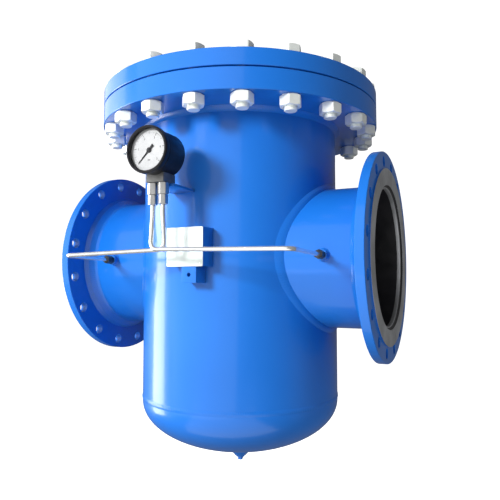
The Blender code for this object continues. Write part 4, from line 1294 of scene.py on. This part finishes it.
# %% [markdown]
# The dial is an enamelled disc, and the dark spindle of the pointer comes up through its middle. Both
# are turned as one piece, and the spindle's faces get a finish of their own.

# %% Dial
DIAL_DEPTH = 0.0125
SPINDLE_RADIUS = 0.002
SPINDLE_HEIGHT = 0.0034
SPINDLE_EDGE = 0.0003
dial_face = -DIAL_DEPTH
spindle_top = dial_face + SPINDLE_HEIGHT

dial = turn_section("dial", [
    (0, -BEZEL_DEPTH), (POCKET - GAP, -BEZEL_DEPTH), (POCKET - GAP, dial_face), (SPINDLE_RADIUS, dial_face),
    (SPINDLE_RADIUS, spindle_top, SPINDLE_EDGE), (0, spindle_top),
], DISC_FACETS, closed=False)
dress(settle(dial, GAUGE_AT, FACE_ON), DIAL, "vessel", "gauge_dial")


def is_spindle(face):
    """True for the faces of the spindle, which comes up through the dial."""
    from_axis = math.hypot(face.center.x - GAUGE_AT[0], face.center.z - GAUGE_AT[2])
    return from_axis < SPINDLE_RADIUS


also(dial, OXIDE, is_spindle)
print("dial:", len(dial.data.polygons), "faces")

# %% [markdown]
# The scale is printed: thin strokes stand along the arc, and the longest of them carry plain numbers. It
# starts at half past seven and runs through three quarters of a turn.

# %% Scale
SCALE_START = 225
SCALE_SWEEP = 270
SCALE_RADIUS = 0.0415
MARKS = 50
MARKS_PER_NUMBER = 10
INK = 0.00012
LONG_STROKE = (0.0075, 0.0011)
MIDDLE_STROKE = (0.0055, 0.0007)
SHORT_STROKE = (0.0036, 0.0004)
NUMBER_HEIGHT = 0.0075
NUMBER_INSET = 0.0125
UNIT_HEIGHT = 0.006
UNIT_RADIUS = 0.021


def stroke(angle, length, width):
    """One printed stroke, with its outer end on the scale's circle."""
    mark = box_piece("stroke", Vector((-width / 2, SCALE_RADIUS - length, dial_face)),
                     Vector((width / 2, SCALE_RADIUS, dial_face + INK)))
    return settle(mark, turn=(0, 0, -angle))


def number(text, angle, radius, height):
    """A plain number, upright at an angle of the scale."""
    digit = fresh(bpy.ops.object.text_add)
    digit.data.body = text
    digit.data.size = height
    digit.data.align_x = "CENTER"
    digit.data.align_y = "CENTER"
    digit.data.extrude = INK / 2
    bpy.ops.object.convert(target="MESH")
    way = math.radians(90 - angle)
    return settle(bpy.context.object, (radius * math.cos(way), radius * math.sin(way), dial_face + INK / 2))


prints = []
for i in range(MARKS + 1):
    angle = SCALE_START + SCALE_SWEEP * i / MARKS
    if i % MARKS_PER_NUMBER == 0:
        prints.append(stroke(angle, *LONG_STROKE))
        prints.append(number(str(i // MARKS_PER_NUMBER), angle, SCALE_RADIUS - NUMBER_INSET, NUMBER_HEIGHT))
    elif i % (MARKS_PER_NUMBER // 2) == 0:
        prints.append(stroke(angle, *MIDDLE_STROKE))
    else:
        prints.append(stroke(angle, *SHORT_STROKE))
prints.append(number("bar", 180, UNIT_RADIUS, UNIT_HEIGHT))
scale_print = joined(prints)
scale_print.name = "scale_print"
dress(settle(scale_print, GAUGE_AT, FACE_ON), PRINT, "vessel", "gauge_dial")
print(len(prints), "printed marks")

# %% [markdown]
# What is cut or folded from sheet is not round, so it starts as an outline instead. The outline is
# filled and drawn up to its thickness, and a bevel breaks its edges where they would catch the light.

# %% Flat pieces from an outline
def sheet_piece(name, outline, bottom, top, edge=0.0):
    """Fills an outline of (x, y) points, draws it up, and breaks its edges."""
    piece = chain([Vector((x, y, bottom)) for x, y in outline])
    piece.name = name
    bpy.ops.mesh.select_all(action="SELECT")
    bpy.ops.mesh.edge_face_add()
    bpy.ops.mesh.extrude_region_move(TRANSFORM_OT_translate={"value": (0, 0, top - bottom)})
    bpy.ops.mesh.select_all(action="SELECT")
    bpy.ops.mesh.normals_make_consistent(inside=False)
    close_mesh()
    if edge:
        bevel = piece.modifiers.new("edge", "BEVEL")
        bevel.width = edge
        bevel.segments = 2
        bevel.angle_limit = math.radians(30)
        bpy.ops.object.modifier_apply(modifier="edge")
    return piece


# %% [markdown]
# The pointer is such a piece of thin sheet. A turned hub holds it on the spindle. It is made pointing up,
# and rests on the scale's zero.

# %% Pointer
POINTER_LIFT = 0.0012
POINTER_THICKNESS = 0.001
POINTER_ROOT = 0.0019
POINTER_TIP = 0.0006
POINTER_REACH = 0.038
THROUGH = 0.010
TAIL_REACH = 0.015
TAIL_TIP = 0.0034
BLADE_DROP = 0.0002
HUB_RADIUS = 0.006
HUB_ROUND = (0.0002, 0.0003)
pointer_low = dial_face + POINTER_LIFT
pointer_high = pointer_low + POINTER_THICKNESS
blade = sheet_piece("pointer_blade", [
    (POINTER_ROOT, 0), (POINTER_TIP, POINTER_REACH), (-POINTER_TIP, POINTER_REACH), (-POINTER_ROOT, 0),
    (-TAIL_TIP, -TAIL_REACH), (TAIL_TIP, -TAIL_REACH),
], pointer_low, pointer_high - BLADE_DROP)
cut(blade, ring("bore", 0, SPINDLE_RADIUS + GAP, pointer_low - THROUGH, pointer_high + THROUGH, PIN_FACETS))
hub = ring("pointer_hub", SPINDLE_RADIUS + GAP, HUB_RADIUS, pointer_low, pointer_high, BOLT_FACETS,
           outer=HUB_ROUND)
for piece in (blade, hub):
    settle(piece, turn=(0, 0, -SCALE_START))
    dress(settle(piece, GAUGE_AT, FACE_ON), PRINT, "pointer", "gauge_pointer")
print("pointer:", len(blade.data.polygons) + len(hub.data.polygons), "faces")

# %% [markdown]
# ## What carries the gauge
# A steel block with two ports sits under the case, on a flat bracket from the shell. The block is a box
# with its edges broken, hollowed where the round case sits. The bracket's back edge follows the shell.

# %% Manifold and bracket
BLOCK_EDGE = 0.0012
BRACKET_EDGE = 0.0006
BACK_POINTS = 12
manifold = box_piece("manifold_block", *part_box("gauge_manifold"))
open_mesh(manifold)
bpy.ops.mesh.select_all(action="SELECT")
bpy.ops.mesh.bevel(offset=BLOCK_EDGE, segments=3, affect="EDGES")
close_mesh()
case_space = ring("case_space", 0, CASE_RADIUS + GAP, case_back - 2 * THROUGH, 2 * THROUGH, GAUGE_FACETS)
cut(manifold, settle(case_space, GAUGE_AT, FACE_ON))
dress(manifold, CAST, "vessel", "gauge_manifold")


def shell_front(x):
    """Where the shell's outside is in Y at this X."""
    return -saddle(SHELL_RADIUS + GAP, x)


def against_shell(left, right, front):
    """An outline with a straight front edge and a back edge that follows the shell."""
    back = []
    for i in range(BACK_POINTS + 1):
        x = right + (left - right) * i / BACK_POINTS
        back.append((x, shell_front(x)))
    return [(left, front), (right, front)] + back


bracket_low, bracket_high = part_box("gauge_bracket")
bracket = sheet_piece("gauge_bracket_plate", against_shell(bracket_low.x, bracket_high.x, bracket_low.y),
                      bracket_low.z, bracket_high.z, BRACKET_EDGE)
dress(bracket, ENAMEL, "vessel", "gauge_bracket")
print("block:", len(manifold.data.polygons), "faces, bracket:", len(bracket.data.polygons))

# %% [markdown]
# Below the block, each tube is held by a hexagonal body and a narrower nut. All four are turned and
# milled by the same function, and so are the nuts at the far ends of the tubes.

# %% Fittings and nuts of the tubes
BODY_FLATS = 0.022
SMALL_FLATS = 0.019
TUBE_RADIUS = 0.005


def hex_fitting(name, flats, low, high):
    """A hexagonal fitting for a tube, turned and milled on the vertical axis, with chamfered ends."""
    low_start, low_end = hex_cone(flats, low, 1)
    high_start, high_end = hex_cone(flats, high, -1)
    blank = turn_section(name, [(TUBE_RADIUS, low), low_start, low_end, high_end, high_start,
                                (TUBE_RADIUS, high)], FITTING_FACETS)
    return mill_hexagon(blank, flats, low, high)


for hand in ("left", "right"):
    for node, flats in ((f"gauge_fitting_{hand}", BODY_FLATS), (f"tube_nut_{hand}", SMALL_FLATS)):
        low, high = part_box(node)
        fitting = hex_fitting(f"{node}_hex", flats, low.z, high.z)
        middle = (low + high) / 2
        dress(settle(fitting, (middle.x, middle.y, 0)), SHEET, "vessel", node)
print("fitting:", len(fitting.data.polygons), "faces each")

# %% [markdown]
# ## Impulse tubes and their ports
# Two steel tubes carry the pressures. They cross over under the gauge, one in front of the other, and
# run nearly level to the far nozzles, where each turns back into its port.

# %% Impulse tubes
TUBE_BEND = 0.018
TUBE_CLEARANCE = 0.004
CROSSING_Z = 0.010
ELBOW_Z = 0.003
for end, hand, side in (("inlet", "left", 1), ("outlet", "right", -1)):
    tube_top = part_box(f"{end}_impulse_tube")[1].z
    nut_low, nut_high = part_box(f"tube_nut_{hand}")
    port_low, port_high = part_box(f"port_nut_{end}")
    drop = (nut_low + nut_high) / 2
    port = (port_low + port_high) / 2
    run = drop.y - side * (TUBE_RADIUS + TUBE_CLEARANCE / 2)
    tube = bent_bar(f"{end}_tube", [
        Vector((drop.x, drop.y, tube_top)), Vector((drop.x, drop.y, tube_top - TUBE_BEND)),
        Vector((drop.x, run, CROSSING_Z)), Vector((port.x, run, ELBOW_Z)),
        Vector((port.x, port_low.y - GAP, port.z)),
    ], TUBE_BEND, 2 * TUBE_RADIUS)
    dress(tube, STEEL, "vessel", f"{end}_impulse_tube")
print("tube:", len(tube.data.polygons), "faces each")

# %% [markdown]
# A port is a small boss with a tube nut in it. The boss is turned on the vertical axis, tipped forwards
# like the gauge, and welded on all round.

# %% Ports
PORT_WELD = 0.003
PORT_BULGE = 0.0006
for end, _ in NOZZLES:
    boss_low, boss_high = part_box(f"port_boss_{end}")
    nut_low, nut_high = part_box(f"port_nut_{end}")
    boss_radius = (boss_high.x - boss_low.x) / 2
    spot = ((boss_low.x + boss_high.x) / 2, 0, (nut_low.z + nut_high.z) / 2)
    port_boss = ring(f"port_boss_{end}_turned", TUBE_RADIUS, boss_radius, -boss_high.y, -boss_low.y,
                     BOSS_FACETS, outer=(0, EDGE))
    dress(settle(port_boss, spot, FACE_ON), ENAMEL, "vessel", f"port_boss_{end}")
    toe = -boss_high.y - ROOT
    bead = weld_ring(f"port_weld_{end}", [(boss_radius - ROOT, toe)] + bead_face(
        (boss_radius + PORT_WELD, toe), (boss_radius, -boss_high.y + PORT_WELD), PORT_BULGE), boss_radius)
    dress(settle(bead, spot, FACE_ON), ENAMEL, "vessel")
    port_nut = hex_fitting(f"port_nut_{end}_hex", SMALL_FLATS, -nut_high.y, -nut_low.y)
    dress(settle(port_nut, spot, FACE_ON), OXIDE, "vessel", f"port_nut_{end}")
print("port boss:", len(port_boss.data.polygons), "faces each")

# %% [markdown]
# ## Nameplate and earthing lug
# The nameplate is a thin sheet with rounded corners. It is left blank here. Drawn flat, it is then
# stood up to face the front.

# %% Nameplate
PLATE_CORNER = 0.003
PLATE_EDGE = 0.0002
CORNER_POINTS = 6
plate_low, plate_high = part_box("nameplate")


def rounded_box(low, high, radius):
    """The outline of a rectangle with rounded corners."""
    corners = [Vector((low[0], low[1], 0)), Vector((high[0], low[1], 0)),
               Vector((high[0], high[1], 0)), Vector((low[0], high[1], 0))]
    outline = []
    for i, here in enumerate(corners):
        arc = corner_arc(corners[i - 1], here, corners[(i + 1) % 4], radius, CORNER_POINTS)
        outline += [(point.x, point.y) for point in arc]
    return outline


plate_back = -plate_high.y
plate_front = -plate_low.y
plate = sheet_piece("blank_plate", rounded_box((plate_low.x, plate_low.z), (plate_high.x, plate_high.z),
                                              PLATE_CORNER), plate_back, plate_front, PLATE_EDGE)
dress(settle(plate, turn=FACE_ON), PLATE, "vessel", "nameplate")
print("plate:", len(plate.data.polygons), "faces")

# %% [markdown]
# A domed rivet in each corner holds the plate. It is turned once and copied.

# %% Rivets
RIVET_INSET = 0.006
RIVET_RADIUS = 0.0022
RIVET_HEIGHT = 0.0009
RIVET_SUNK = 0.0003
RIVET_RIM = 0.0002
RIVET_SHOULDER = (0.6, 0.85)
rivet = turn_section("rivet", [
    (0, plate_front - RIVET_SUNK), (RIVET_RADIUS, plate_front - RIVET_SUNK),
    (RIVET_RADIUS, plate_front + RIVET_RIM),
    (RIVET_RADIUS * RIVET_SHOULDER[0], plate_front + RIVET_HEIGHT * RIVET_SHOULDER[1]),
    (0, plate_front + RIVET_HEIGHT),
], RIVET_FACETS, closed=False)
for i, x in enumerate((plate_low.x + RIVET_INSET, plate_high.x - RIVET_INSET)):
    for j, z in enumerate((plate_low.z + RIVET_INSET, plate_high.z - RIVET_INSET)):
        dress(settle(twin(rivet, f"rivet_{i}{j}"), (x, 0, z), FACE_ON), STEEL, "vessel", "nameplate")
print("rivet:", len(rivet.data.polygons), "faces each")
bpy.data.objects.remove(rivet)

# %% [markdown]
# A folded channel stands the plate off the shell, so that it stays readable once the vessel is
# insulated. Seen from above it is one outline, whose two legs end on the shell.

# %% Channel behind the nameplate
STAND_WALL = 0.004
CHANNEL_EDGE = 0.0008


def channel(left, right, front, wall):
    """A channel seen from above: a web in front and two legs that reach back to the shell."""
    return [
        (left, front), (right, front), (right, shell_front(right)), (right - wall, shell_front(right - wall)),
        (right - wall, front + wall), (left + wall, front + wall), (left + wall, shell_front(left + wall)),
        (left, shell_front(left)),
    ]


stand_low, stand_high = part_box("nameplate_bracket")
stand = sheet_piece("nameplate_channel", channel(stand_low.x, stand_high.x, stand_low.y, STAND_WALL),
                    stand_low.z, stand_high.z, CHANNEL_EDGE)
dress(stand, ENAMEL, "vessel", "nameplate_bracket")
print("channel:", len(stand.data.polygons), "faces")

# %% [markdown]
# Below the nameplate, a smaller channel has a hole for the earthing bolt. The drill is turned with its
# countersink on it, as for the flanges.

# %% Earthing lug
LUG_WALL = 0.005
LUG_HOLE = 0.0045
LUG_MOUTH = LUG_HOLE + 0.001
MOUTH_BACK = 0.0006
MOUTH_FRONT = 0.0004
lug_low, lug_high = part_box("earthing_lug")
lug = sheet_piece("earthing_channel", channel(lug_low.x, lug_high.x, lug_low.y, LUG_WALL),
                  lug_low.z, lug_high.z, CHANNEL_EDGE)
lug_front = -lug_low.y
lug_drill = turn_section("lug_drill", [
    (0, lug_front - 2 * LUG_WALL), (LUG_HOLE, lug_front - 2 * LUG_WALL), (LUG_HOLE, lug_front - MOUTH_BACK),
    (LUG_MOUTH, lug_front + MOUTH_FRONT), (LUG_MOUTH, lug_front + LUG_WALL), (0, lug_front + LUG_WALL),
], PIN_FACETS, closed=False)
lug_middle = (lug_low + lug_high) / 2
cut(lug, settle(lug_drill, (lug_middle.x, 0, lug_middle.z), FACE_ON))
dress(lug, ENAMEL, "vessel", "earthing_lug")
print("lug:", len(lug.data.polygons), "faces")
